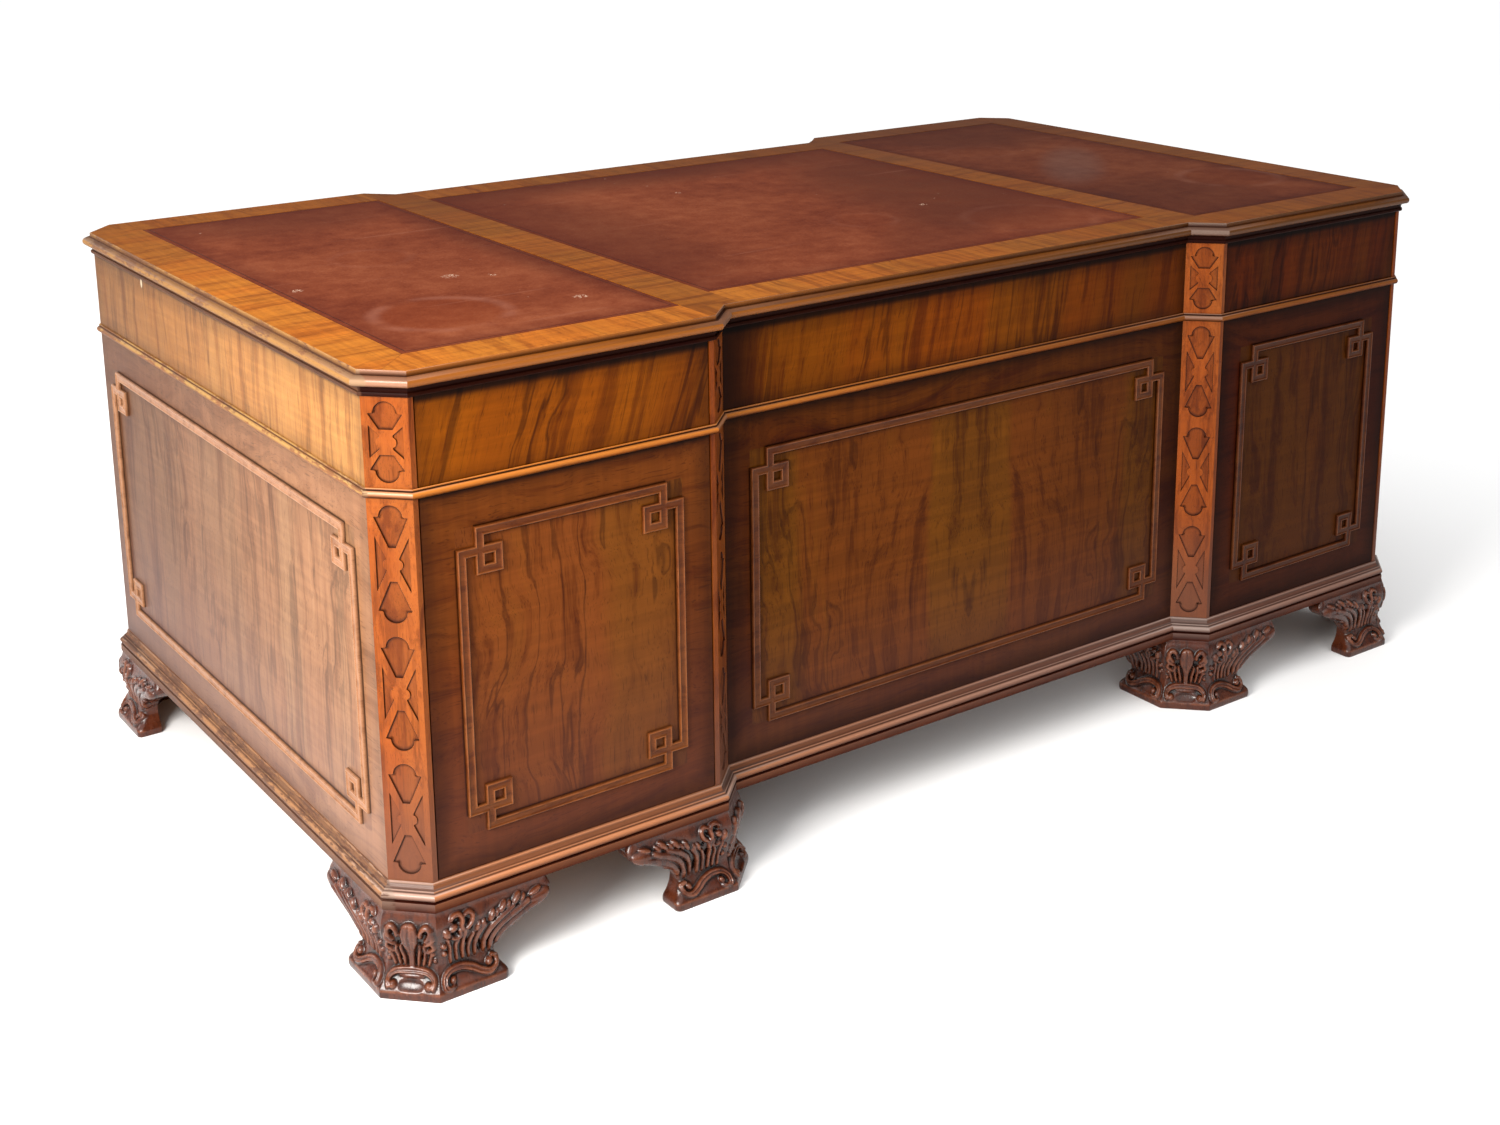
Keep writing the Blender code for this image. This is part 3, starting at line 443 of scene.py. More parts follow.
def border_finish(name, side_leather, centre_leather):
    """Golden cross-banding: the grain crosses each band, and the bands meet in dark mitres. Painted shade darkens it
    to the right and to the back, and the divider is darker.
    """
    f = Finish(name, Specular_IOR_Level=0.045)
    place = f.place()
    x, y, _ = f.parts(place)
    far, far_y, near, centre = side_leather[1].x, side_leather[1].y, side_leather[0].x, centre_leather[1].x
    out_x, out_y = abs(x) - far, abs(y) - far_y
    end_band = (out_x - out_y).above(0.0)
    divider = (near + 0.001 - abs(x)).above(0.0) * (abs(x) - centre + 0.001).above(0.0)
    across = end_band.most(divider * (0.0 - out_y + 0.02).above(0.0))
    tones = shades(ABOVE, (156, 78, 22), (228, 130, 46), (224, 136, 50))
    grain = f.swap(across, f.joined(x, y, 0.0), f.joined(y, x, 0.0))
    colour, relief = walnut(f, grain, tones, "Y", 0.4, 0.5, 3.1, 0.6, sway=0.5)
    mitre = abs(out_x - out_y).rise(0.0009, 0.0002) * out_x.above(-0.004)
    colour = f.mix(mitre * 0.55, colour, tone(70, 34, 14, ABOVE))
    cloud = f.noise(place, 3.0)
    # painted shade darkening to the right, and a darker divider
    dark = (x.rise(-1.0, 0.95) * 0.74).most(divider * 0.5)
    colour = f.mix(dark, colour, tone(96, 50, 18, ABOVE))
    # painted shade darkening towards the back
    colour = f.mix(y.rise(-0.1, 0.5) * 0.5, colour, tone(96, 50, 18, ABOVE))
    return f.coat(colour, 0.30 + cloud * 0.14, relief)


def moulding_finish(name, tones, rubbed_highlight, far, gold, seed, glare):
    """Walnut with its grain along the run, black-brown in its hollows, painted shade, and paler on its noses, a
    painted highlight.

    Along the desk's left end the noses are rubbed to gold between dark chips and the painted shade is lighter;
    towards the right the painted highlight turns to the dimmer far tone; the canted corners, found by the product
    of the normal's level parts, are darker and take a painted glare on their noses.
    """
    f = Finish(name, Specular_IOR_Level=0.04, Coat_Roughness=0.25)
    colour, relief = walnut(f, f.run(), tones, "X", 0.35, 0.2, seed, 0.7)
    nose, shade_in_hollows = f.mark("nose"), f.mark("hollow")
    place = f.place()
    rub = f.noise(place, 11.0, 4.0, 0.7)
    bite = f.noise(f.run(), (60.0, 300.0, 1.0), 3.0, 0.7)
    x = f.parts(place)[0]
    left = x.rise(-0.915, -0.917)
    chipped = (rub * 0.6 + bite * 0.4).rise(0.52, 0.46) * left
    across, along, _ = f.parts(f.node("ShaderNodeTexCoord", output="Normal"))
    cant = (abs(across) * abs(along) / (across * across + along * along)).rise(0.2, 0.4)
    pale = f.mix(left, f.mix(x.rise(-0.7, 0.3), rubbed_highlight, far), gold)
    # painted glare on the noses of the canted corners
    pale = f.mix(cant * glare, pale, tone(226, 208, 198, CANTED))
    colour = f.mix(left * 0.45, colour, tone(168, 134, 114, END))
    colour = f.mix(cant * 0.4, colour, tone(60, 30, 24, CANTED))
    # painted highlight on the noses; along the left end gold wear between dark chips
    colour = f.mix(nose * (0.92 - chipped * 0.8), colour, pale)
    # painted shade in the hollows, lighter along the left end
    colour = f.mix(shade_in_hollows * (0.95 - left * 0.5), colour, tone(44, 22, 12, NEAR))
    return f.coat(colour, rub * 0.2 + 0.35, relief, strength=0.4, polish=nose * (0.4 - left * 0.4))


def panel_finish(name, tones, grain, frame_box=None, margin=None, edge=None, bold=0.6, ripple=0.4, seed=0.0,
                 size=1.0, book=None, gloss=0.30, dusk=0.55, sheen=0.05, drift=None, lines=46.0, veils=(),
                 lining=None, sway=1.0, slant=0.0, shadow=(0.012, 0.001, 0.88), chips=()):
    """Veneer of a panel: figured field inside the key frame, banded margin outside it, and painted shade to the edges,
    inside the frame and along its foot.

    frame_box and edge are faces of the key frame and the panel; book mirrors the figure at a plane, as two
    leaves opened like a book; slant tilts the grain; drift gives places along the panel and their olive;
    lining is where plain oak takes over. A veil of painted light is an axis, where it starts and is full, its
    share and its colour; shadow is how far a painted shadow reaches below the moulding above, where it is
    full, and its share.
    """
    f = Finish(name, Specular_IOR_Level=sheen)
    place = f.place()
    x, y, z = here = f.parts(place)
    if book is not None:
        x = abs(x - book)
    if slant:
        x = x - z * slant
    lean = None
    if drift is not None:
        lean = drift[0][1]
        for (start, before), (end, after) in zip(drift, drift[1:]):
            lean = x.rise(start, end) * (after - before) + lean
    colour, relief = walnut(f, f.joined(x, y, z), tones, grain, bold, ripple, seed, size, lean, lines, sway)
    cloud = f.noise(place, (4.0, 4.0, 2.0), shift=(seed, 0, 0))

    def within(axis, middle, half):
        """How far a point lies inside a face's sides, and inside its top and bottom."""
        return half[0] - abs(here[axis] - middle[0]), half[1] - abs(here[2] - middle[1])

    if frame_box is not None:
        sides, ends = within(*frame_box)
        inside = sides.least(ends)
        band, _ = walnut(f, place, margin, "XYZ"[frame_box[0]], 0.3, ripple, seed + 5.0, 1.2)
        colour = f.mix(inside.rise(-0.0005, 0.0005), band, colour)
        # painted shade inside the frame, near its bars
        colour = f.mix(inside.rise(0.03, 0.0) * inside.above(0.0) * 0.3, colour, tone(40, 20, 12))
        # painted shadow along the foot of the frame's bars
        foot = abs(inside - 0.006).rise(0.0095, 0.006) * sides.most(ends).above(0.024)
        colour = f.mix(foot * 0.8, colour, tone(26, 12, 8))
    if lining is not None:
        oak, _ = walnut(f, place, shades(1.0, (150, 108, 74), (184, 142, 102), (190, 150, 114)), "Y", 0.1, 0.1, 30.0)
        colour = f.mix((lining - y).above(0.0), colour, oak)
    # veils of painted light
    for along, start, full, share, veil in veils:
        colour = f.mix(here[along].rise(start, full) * share, colour, veil)
    if edge is not None:
        sides, ends = within(*edge)
        # painted shade towards the edges, and a painted shadow below the moulding above
        below = edge[1][1] + edge[2][1] - z
        reach, full, depth = shadow
        dark = (sides.least(ends).rise(0.035, 0.0) * dusk).most(below.rise(reach, full) * depth)
        colour = f.mix(dark, colour, tone(26, 12, 7))
    for along, up, wide, tall in chips:
        one, two = (here[edge[0]] - along) / wide, (z - up) / tall
        colour = f.mix((one * one + two * two + cloud * 0.5).rise(1.3, 0.9), colour, tone(250, 226, 190, END))
    return f.coat(colour, gloss + cloud * 0.14, relief)


# Camera, from the desk's own edges and corners in the picture

view = bpy.data.cameras.new("view")
view.sensor_width = 36
view.lens = 47.9
view.shift_x = -0.0187
view.shift_y = -0.17
view.clip_end = 100
watcher = placed("watcher", view)
watcher.location = (-1.794, -2.488, 1.381)
watcher.rotation_euler = (math.radians(90 - 13.95), math.radians(0.37), math.radians(-35.94))
bpy.context.scene.camera = watcher


# Stage and light

def soft_light(name, place, aim, width, height, watts, colour=(1, 1, 1)):
    """A rectangular soft box that looks at a point."""
    lamp = bpy.data.lights.new(name, "AREA")
    lamp.shape = "RECTANGLE"
    lamp.size = width
    lamp.size_y = height
    lamp.energy = watts
    lamp.color = colour
    box = placed(name, lamp)
    box.location = place
    box.visible_camera = False
    x, y, z = np.subtract(aim, place)
    box.rotation_euler = (math.atan2(math.hypot(x, y), -z), 0, math.atan2(-x, y))


floor_finish = Finish("studio_floor", Specular_IOR_Level=0.1, Roughness=0.9)
cloud = floor_finish.noise(floor_finish.place(), 0.7)
floor_colour = floor_finish.ramp(cloud, (0.3, (0.87, 0.87, 0.87, 1.0)), (0.7, (0.89, 0.89, 0.89, 1.0)))
floor_finish.coat(floor_colour, cloud * 0.05 + 0.88)
floor_mesh = bpy.data.meshes.new("studio_floor")
floor_mesh.from_pydata([(-20, -20, 0), (20, -20, 0), (20, 20, 0), (-20, 20, 0)], [], [(0, 1, 2, 3)])
floor_mesh.materials.append(floor_finish.material)
placed("studio_floor", floor_mesh)

world = bpy.data.worlds.new("studio")
world.use_nodes = True
air = world.node_tree.nodes["Background"].inputs
air["Color"].default_value = (1.0, 1.0, 1.0, 1.0)
air["Strength"].default_value = 0.25
bpy.context.scene.world = world
bpy.context.scene.view_settings.view_transform = "Standard"
sky = bpy.data.lights.new("ceiling", "SUN")
sky.energy = 3.2
sky.angle = math.radians(110)
placed("ceiling", sky).rotation_euler = (math.radians(12), math.radians(-20), 0)
soft_light("key_box", (-2.6, -1.2, 1.5), (-0.7, -0.2, 0.4), 1.1, 1.1, 130, (1.0, 0.97, 0.93))
soft_light("back_box", (-2.0, 2.8, 1.8), (-0.2, 0.0, 0.4), 2.4, 1.8, 45)


# Veneered flat parts keep their solids

def face(node, axis):
    """A node's axis, middle and half size, along that axis and in height."""
    low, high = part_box(node)
    middle = ((low[axis] + high[axis]) / 2, (low[2] + high[2]) / 2)
    return axis, middle, ((high[axis] - low[axis]) / 2, (high[2] - low[2]) / 2)


def lay_veneer(node, finish):
    """Gives a carried solid its finish."""
    for held in nodes[node].material_slots:
        held.material = finish


def veneer(node, name, axis, tones, key_frame=None, margin=None, **looks):
    """Veneers a panel or a frieze, with a margin outside its key frame where it has one."""
    frame_box = face(key_frame, axis) if key_frame else None
    lay_veneer(node, panel_finish(name, tones, "Z", frame_box, margin, face(node, axis), **looks))


# Painted light on the veneers: veils along X and along Y are painted shade that darkens them to the right and to the
# back,
# with a painted reflection of the floor; and the front tone sets darken from the left pedestal to the middle and right
# ones, painted shade
# with a painted shadow beside the left pedestal on the centre frieze; veils along Z make them darker and purplish low
# down,
SHADE_TONE = tone(40, 18, 9)
veneer("front_panel_left", "front_veneer_left", 0, shades(NEAR, (80, 40, 20), (136, 74, 38), (130, 76, 36)),
       "key_frame_left", shades(NEAR, (78, 38, 18), (116, 60, 32), (121, 66, 34)), seed=1.0, dusk=0.48,
       bold=0.75, shadow=(0.020, 0.006, 0.92), drift=((-0.84, -0.12), (-0.72, 0.0), (-0.56, 0.22)),
       veils=((2, 0.48, 0.14, 0.42, tone(94, 66, 62, NEAR)),))
veneer("front_panel_right", "front_veneer_right", 0, shades(FAR, (48, 26, 15), (82, 46, 27), (78, 47, 26)),
       "key_frame_right", shades(FAR, (44, 23, 13), (62, 34, 20), (68, 38, 22)), seed=7.0, sheen=0.03,
       shadow=(0.03, 0.004, 0.75), veils=((0, 0.62, 0.88, 0.18, SHADE_TONE), (2, 0.40, 0.14, 0.2, tone(72, 50, 46, FAR))))
veneer("modesty_panel", "centre_veneer", 0, shades(MIDDLE, (60, 34, 20), (108, 60, 32), (106, 64, 31)),
       "key_frame_centre", shades(MIDDLE, (52, 27, 15), (82, 44, 25), (88, 50, 28)), seed=4.0, book=0.0,
       ripple=0.6, sheen=0.035, shadow=(0.03, 0.004, 0.8),
       drift=((0.0, 0.32), (0.06, 0.3), (0.1, -0.1), (0.26, -0.2), (0.34, 0.25)),
       veils=((0, -0.1, 0.5, 0.36, SHADE_TONE), (2, 0.40, 0.13, 0.3, tone(98, 70, 66, MIDDLE))))
veneer("end_panel_left", "end_veneer_left", 1, shades(END, (140, 90, 62), (206, 148, 106), (204, 152, 110)),
       "key_frame_left_end", shades(END, (160, 106, 72), (200, 142, 102), (208, 152, 110)), seed=2.0, dusk=0.2,
       sway=0.6, shadow=(0.006, 0.001, 0.6),
       veils=((1, -0.45, 0.47, 0.57, tone(84, 40, 22, END)), (2, 0.44, 0.14, 0.3, tone(178, 148, 148, END))))
veneer("end_panel_right", "end_veneer_right", 1, shades(1.0, (72, 38, 20), (116, 66, 36), (120, 78, 46)),
       "key_frame_right_end", shades(MIDDLE, (60, 32, 20), (94, 50, 30), (110, 64, 40)), seed=3.0, sway=0.6)
frieze_look = {"size": 0.8, "shadow": (0.017, 0.004, 0.94)}
veneer("frieze_front_left", "frieze_veneer_left", 0, shades(UNDER, (80, 40, 10), (141, 74, 24), (141, 76, 24)),
       seed=5.0, bold=0.9, dusk=0.35, lines=95.0, sway=0.3, slant=0.3, veils=((0, -0.60, -0.46, 0.4, SHADE_TONE),),
       **frieze_look)
veneer("frieze_front_centre", "frieze_veneer_centre", 0,
       shades(MIDDLE, (70, 34, 10), (124, 63, 19), (120, 66, 20)), seed=6.0, bold=0.7, lines=80.0, sway=0.3,
       slant=0.15, sheen=0.035, veils=((0, -0.1, 0.42, 0.4, SHADE_TONE), (0, -0.345, -0.40, 0.85, SHADE_TONE)), **frieze_look)
veneer("frieze_front_right", "frieze_veneer_right", 0, shades(FAR, (46, 23, 9), (82, 41, 14), (82, 46, 16)),
       seed=8.0, bold=0.8, lines=80.0, sway=0.3, slant=0.15, sheen=0.03, **frieze_look)
veneer("frieze_end_left", "frieze_end_veneer_left", 1,
       shades(END, (168, 98, 44), (234, 160, 86), (236, 166, 92)), seed=9.0, bold=0.5, dusk=0.3, sway=0.25,
       size=0.7, shadow=(0.010, 0.0, 0.7), veils=((1, -0.35, 0.48, 0.5, tone(96, 48, 12, END)),),
       chips=((0.262, 0.741, 0.004, 0.007),))
veneer("frieze_end_right", "frieze_end_veneer_right", 1, shades(1.0, (84, 46, 20), (126, 72, 34), (136, 86, 42)),
       seed=10.0, lines=60.0, sway=0.3)

kneehole_wood = panel_finish("inner_veneer", shades(1.0, (62, 33, 18), (98, 56, 32), (100, 64, 38)), "Z", seed=11.0)
frame_wood = panel_finish("frame_wood", shades(1.0, (90, 56, 32), (132, 88, 52), (150, 106, 66)), "X",
                          seed=12.0, gloss=0.5, bold=0.2)
FRONT_THICKNESS = 0.019
# The drawers' fronts are veneered and the rest is plain oak; the middle drawer stands further back
outer_drawer_wood, middle_drawer_wood = (
    panel_finish(name, shades(1.0, (80, 42, 20), (124, 66, 34), (128, 80, 44)), "Z", seed=16.0,
                 lining=depth - FRONT_THICKNESS)
    for name, depth in (("outer_drawer_wood", HALF_DEPTH), ("middle_drawer_wood", INNER_DEPTH)))
brass = Finish("brass", Metallic=1.0)
smudge = brass.noise(brass.place(), 90.0, 3.0)
brass.coat(brass.ramp(smudge, (0.3, tone(150, 112, 54)), (0.7, tone(214, 172, 98))), smudge * 0.2 + 0.2)

for node in nodes:
    if node.startswith("kneehole_side"):
        lay_veneer(node, kneehole_wood)
    elif "drawer_frame" in node:
        lay_veneer(node, frame_wood)
    elif "drawer" in node:
        lay_veneer(node, middle_drawer_wood if "centre" in node else outer_drawer_wood)


# Top board

def make_top_board():
    """The moulded edge carried round the plan, a top of flat bands and three recesses for the hides.

    The profile runs from the flat, over a fillet, a torus, an undercut and a cove, to the underside.
    The bands are flat faces between the plan's corners and the recesses' corners.
    """
    profile = np.concatenate((
        arc((0.0028, -0.0008), (0.0008, 0.0008), 90, 0, 4), ((0.0036, -0.0058), (0.0064, -0.0060)),
        arc((0.0068, -0.0125), (0.0072, 0.0061), 90, 0, 9), arc((0.0095, -0.0125), (0.0045, 0.0058), -12, -90, 8),
        ((0.0052, -0.0190), (0.0048, -0.0196)), arc((0.0048, -0.0262), (-0.0028, 0.0066), 90, 0, 7)[1:],
        ((0.0040, -0.0264), (0.0042, -0.0268), (0.0042, -0.0298), (0.0030, -0.0314)))) + (0, DESK_TOP)
    outline = desk_outline()
    ring, started = carried(outline, profile)
    sides, at = weave(len(outline), len(profile), round_rows=True)
    boxes = [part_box("leather_" + side) for side in ("left", "centre", "right")]
    x0, x1, y = np.array([(low.x - GAP, high.x + GAP, high.y + GAP) for low, high in boxes]).T
    holes = np.stack((x0, -y, x1, -y, x1, y, x0, y), -1).reshape(12, 2)
    upper, lower = (np.concatenate((holes, np.full((12, 1), level)), 1) for level in (DESK_TOP, boxes[0][0].z - GAP))
    # the plan's corners: 0-3 front right, 4-7 back right, 8-11 back left, 12-15 front left
    rim = np.arange(len(outline)) * len(profile)
    first = len(outline) * len(profile)
    left, centre, right = first, first + 4, first + 8
    bands = np.array((
        (rim[0], rim[1], right, centre + 1), (rim[1], rim[2], right + 1, right),
        (rim[3], rim[4], right + 2, right + 1), (rim[5], rim[6], right + 3, right + 2),
        (rim[6], rim[7], centre + 2, right + 3), (rim[7], rim[8], centre + 3, centre + 2),
        (rim[8], rim[9], left + 2, centre + 3), (rim[9], rim[10], left + 3, left + 2),
        (rim[11], rim[12], left, left + 3), (rim[13], rim[14], left + 1, left),
        (rim[14], rim[15], centre, left + 1), (rim[15], rim[0], centre + 1, centre),
        (centre + 1, right, right + 3, centre + 2), (left + 1, centre, centre + 3, left + 2)))
    corners = np.array(((rim[2], rim[3], right + 1), (rim[4], rim[5], right + 2),
                        (rim[10], rim[11], left + 3), (rim[12], rim[13], left)))
    mouths = first + np.arange(12).reshape(3, 4)
    floors = mouths + 12
    walls = np.stack((mouths, np.roll(mouths, -1, 1), np.roll(floors, -1, 1), floors), -1).reshape(-1, 4)
    under = (rim + len(profile) - 1)[None, ::-1]
    faces = [sides, bands, corners, walls, floors, under]
    points = np.concatenate((ring.reshape(-1, 3), upper, lower))
    flat = [np.zeros(f.shape + (2,)) for f in faces[1:]]
    high = np.broadcast_to(profile[None, :, 1] - DESK_TOP, ring.shape[:2])
    # marks by height: the arrises and the torus take a painted highlight, with wear on the left end; the underside and
    # the quirk below the fillet take painted shade
    nose = levels(high, (-0.0186, 0), (-0.0170, 0.5), (-0.0140, 0.9), (-0.0105, 1), (-0.0085, 0.5), (-0.0066, 0.5),
                  (-0.0060, 0.1), (-0.0040, 0.2), (-0.0016, 0.3), (-0.0009, 1), (0, 0.9))
    hollow = levels(high, (-0.0200, 1), (-0.0186, 0.8), (-0.0172, 0.2), (-0.0155, 0), (-0.0062, 0), (-0.0060, 0.8),
                    (-0.0056, 0.4), (-0.0045, 0))
    rest = np.zeros(24)
    marks = {"nose": np.concatenate((nose.ravel(), rest)), "hollow": np.concatenate((hollow.ravel(), rest))}
    which = np.concatenate([np.full(len(f), w) for f, w in zip(faces, (1, 0, 0, 0, 0, 1))])
    border = border_finish("border_wood", boxes[2], boxes[1])
    # the edge's tones, its painted highlight and that highlight's dimmer far tone, and the gold of the worn left end
    edge = moulding_finish("edge_wood", shades(NEAR, (60, 28, 11), (122, 66, 28), (128, 73, 32)),
                           *shades(NEAR, (174, 103, 46), (104, 66, 38)), tone(216, 158, 92, END), 21.0, 0.3)
    make_piece("top", points, faces, [border, edge], ["top_board"], marks=marks, which=which,
               run=[run_map(started, profile, at, False)] + flat)


def make_hide(name, *looks):
    """A leather panel: a grid whose last two millimetres roll down into the recess.

    The drop grows with the square of how near the edge is. The looks are those of its finish.
    """
    low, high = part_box(name)
    margins = np.array((0.0, 0.0004, 0.0012, 0.0022, 0.01))
    x = np.concatenate((low.x + margins, high.x - margins[::-1]))
    y = np.concatenate((low.y + margins, high.y - margins[::-1]))
    across, along = np.meshgrid(x, y, indexing="ij")
    inside = np.minimum(np.minimum(across - low.x, high.x - across), np.minimum(along - low.y, high.y - along))
    drop = 0.0007 * (1 - np.clip(inside / margins[3], 0, 1)) ** 2 + 0.00012
    top = np.stack((across, along, high.z - drop), -1)
    bottom = np.stack((across, along, np.full_like(across, low.z)), -1)
    grid, _ = weave(len(x), len(y))
    size = len(x) * len(y)
    edge = np.arange(size).reshape(len(x), len(y))
    loop = np.concatenate((edge[:-1, 0], edge[-1, :-1], edge[:0:-1, -1], edge[0, :0:-1]))
    skirt = np.stack((loop, np.roll(loop, -1), np.roll(loop, -1) + size, loop + size), -1)
    points = np.concatenate((top.reshape(-1, 3), bottom.reshape(-1, 3)))
    faces = [grid, grid[:, ::-1] + size, skirt[:, ::-1]]
    finish = leather_finish(name, low, high, *looks)
    make_piece("hide_" + name.split("_")[1], points, faces, [finish], [name])


make_top_board()
# Dark patches on the hides are painted shade; the pale diagonal patch on the right hide is a painted reflection
HIDE_SHADE, FAR_HIDE_SHADE = tone(84, 44, 34, HIDE), tone(84, 44, 34, FAR_HIDE)
make_hide("leather_left", ((-0.727, -0.298, 0.084, 0.016, 0.32), (-0.66, 0.05, 0.055, 0.012, 0.10)), 1.3, HIDE,
          ((-0.624, -0.118, 0.014), (-0.575, -0.144, 0.008), (-0.543, -0.325, 0.012), (-0.822, -0.073, 0.010)),
          ((-0.66, 0.46, 0.3, 0.24, 0.0, 0.42, HIDE_SHADE), (-0.45, 0.02, 0.09, 0.5, 0.0, 0.4, HIDE_SHADE)))
make_hide("leather_centre", ((0.05, -0.16, 0.05, 0.010, 0.10), (0.26, -0.30, 0.10, 0.014, 0.08)), 4.1, HIDE,
          ((-0.05, 0.2, 0.008), (0.2, -0.12, 0.008)),
          ((-0.42, 0.05, 0.28, 0.6, 0.0, 0.42, HIDE_SHADE), (0.34, 0.05, 0.26, 0.55, -0.3, 0.62, HIDE_SHADE),
           (0.0, 0.44, 0.6, 0.2, 0.0, 0.62, HIDE_SHADE), (0.07, -0.30, 0.1, 0.26, -0.75, 0.3, HIDE_SHADE)))
make_hide("leather_right", ((0.76, -0.25, 0.083, 0.016, 0.28), (0.60, 0.2, 0.06, 0.012, 0.08)), 7.7, FAR_HIDE, (),
          ((0.64, 0.0, 0.07, 0.24, -0.75, 0.3, tone(150, 122, 112, FAR_HIDE)),
           (0.56, -0.3, 0.2, 0.2, 0.0, 0.3, FAR_HIDE_SHADE), (0.72, 0.4, 0.3, 0.26, 0.0, 0.42, FAR_HIDE_SHADE)))


# Waist and plinth

def make_ring(name, node, outline, profile, finish, nose, hollow):
    """A closed profile carried round a plan, with its noses marked by height for a painted highlight and wear, and its
    hollows for painted shade.
    """
    points, started = carried(outline, profile)
    faces, at = weave(len(outline), len(profile), True, True)
    front = profile[:, 0] > 0
    shape = points.shape[:2]
    marks = {"nose": np.broadcast_to(levels(profile[:, 1], *nose) * front, shape),
             "hollow": np.broadcast_to(levels(profile[:, 1], *hollow) * front, shape)}
    make_piece(name, points, [faces], [finish], [node], marks=marks,
               run=[run_map(started, profile, at, True)])


waist = np.concatenate((
    ((GAP, WAIST_BOTTOM), (0.0012, WAIST_BOTTOM)), arc((0.0008, WAIST_BOTTOM + 0.0048), (0.0047, 0.0048), -82, 84, 14),
    ((0.0022, WAIST_BOTTOM + 0.0101), (0.0022, WAIST_TOP - 0.0003), (0.0018, WAIST_TOP), (GAP, WAIST_TOP))))
# marks by height: the bead and the top fillet take a painted highlight, with wear on the left end; under the bead and
# in the quirk, painted shade
make_ring("waist_bead", "waist_moulding", desk_outline(), waist, moulding_finish(
    "waist_wood", shades(NEAR, (74, 36, 14), (146, 76, 28), (152, 84, 32)),
    *shades(NEAR, (230, 140, 62), (146, 88, 44)), tone(240, 188, 112, END), 22.0, 0.3),
    ((0.6296, 0), (0.6312, 0.2), (0.6328, 0.6), (0.6348, 1), (0.6364, 0.8), (0.6369, 0), (0.6378, 0), (0.6383, 1)),
    ((0.6276, 1), (0.6284, 0.75), (0.6298, 0.25), (0.6312, 0), (0.6362, 0), (0.6367, 1), (0.6378, 1), (0.6383, 0)))

plinth = np.concatenate((
    ((-0.0224, PLINTH_BOTTOM), (0.0112, PLINTH_BOTTOM), (0.0119, 0.1122), (0.0121, 0.1128), (0.0121, 0.1232),
     (0.0118, 0.1235), (0.0106, 0.1236), (0.0105, 0.1248), (0.0106, 0.1250)),
    arc((0.0072, 0.1302), (0.0056, 0.0051), -70, 78, 15),
    ((0.0074, 0.1356), (0.0072, 0.1362), (0.0072, 0.1376)), arc((0.0070, 0.1438), (-0.0048, 0.0060), -90, -20, 7),
    ((0.0020, 0.1423), (0.0020, 0.1452), (0.0010, PLINTH_TOP), (-0.0224, PLINTH_TOP))))
rail = ((KNEE_HALF, PLINTH_RAIL_BACK), (-KNEE_HALF, PLINTH_RAIL_BACK))
# marks by height: the fillets and the torus take a painted highlight, with wear on the left end; the quirks and the
# cove, painted shade
make_ring("plinth_moulding", "plinth", desk_outline(rail), plinth, moulding_finish(
    "plinth_wood", shades(NEAR, (56, 27, 19), (88, 45, 32), (94, 50, 36)),
    *shades(NEAR, (214, 142, 98), (168, 130, 114)), tone(222, 162, 114, END), 23.0, 0.6),
    ((0.1128, 0), (0.1228, 0.05), (0.1233, 0.3), (0.1235, 0), (0.1250, 0.0), (0.1268, 0.12), (0.1290, 0.3),
     (0.1314, 0.65), (0.1334, 1), (0.1346, 1), (0.1352, 0.3), (0.1358, 0.4), (0.1372, 1), (0.1377, 0.9),
     (0.1380, 0.3), (0.1420, 0.35), (0.1423, 0.5), (0.1450, 0.7), (0.1453, 1), (0.1462, 0.5)),
    ((0.1235, 0), (0.1237, 1), (0.1248, 1), (0.1256, 0.4), (0.1270, 0), (0.1350, 0), (0.1354, 0.8), (0.1358, 0.5),
     (0.1364, 0), (0.1376, 0), (0.1380, 0.6), (0.1386, 0.25), (0.1415, 0.1), (0.1424, 0.5), (0.1430, 0.2),
     (0.1440, 0)))


def make_plinth_board(name, sign):
    """Inside the plinth of a pedestal, a frame with a bottom board: a step carried round the pedestal's plan."""
    outline = np.concatenate((QUARTER * (1, -1), QUARTER[::-1]))
    step = np.array(((-0.062, PLINTH_TOP - 0.010), (-0.062, PLINTH_BOTTOM + GAP), (-0.0226, PLINTH_BOTTOM + GAP),
                     (-0.0226, PLINTH_TOP - GAP)))
    points, _ = carried(outline, step)
    faces, _ = weave(len(outline), len(step), True)
    caps = np.arange(len(outline)) * len(step) + np.array(((0,), (len(step) - 1,)))
    caps[1] = caps[1, ::-1]
    make_piece(name, points * (sign, 1, 1), [faces, caps], [frame_wood], bend=20)


make_plinth_board("plinth_board_left", -1)
make_plinth_board("plinth_board_right", 1)


# Drawers: beads round their fronts, and turned knobs

def make_cock_bead(drawer):
    """A half-round bead let in round a drawer's front, mitred at its corners."""
    low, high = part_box(drawer)
    outline = np.array(((low.x, low.z), (high.x, low.z), (high.x, high.z), (low.x, high.z)))
    bead = np.concatenate((((-0.0032, -0.004), (0.0, -0.004)), arc((-0.0016, 0.0002), (0.0016, 0.0017), 0, 180, 9)))
    points, _ = carried(outline, bead)
    faces, _ = weave(4, len(bead), True, True)
    make_piece("cock_bead_" + drawer, points[..., (0, 2, 1)] + (0, high.y, 0), [faces], [bead_wood],
               body=drawer)


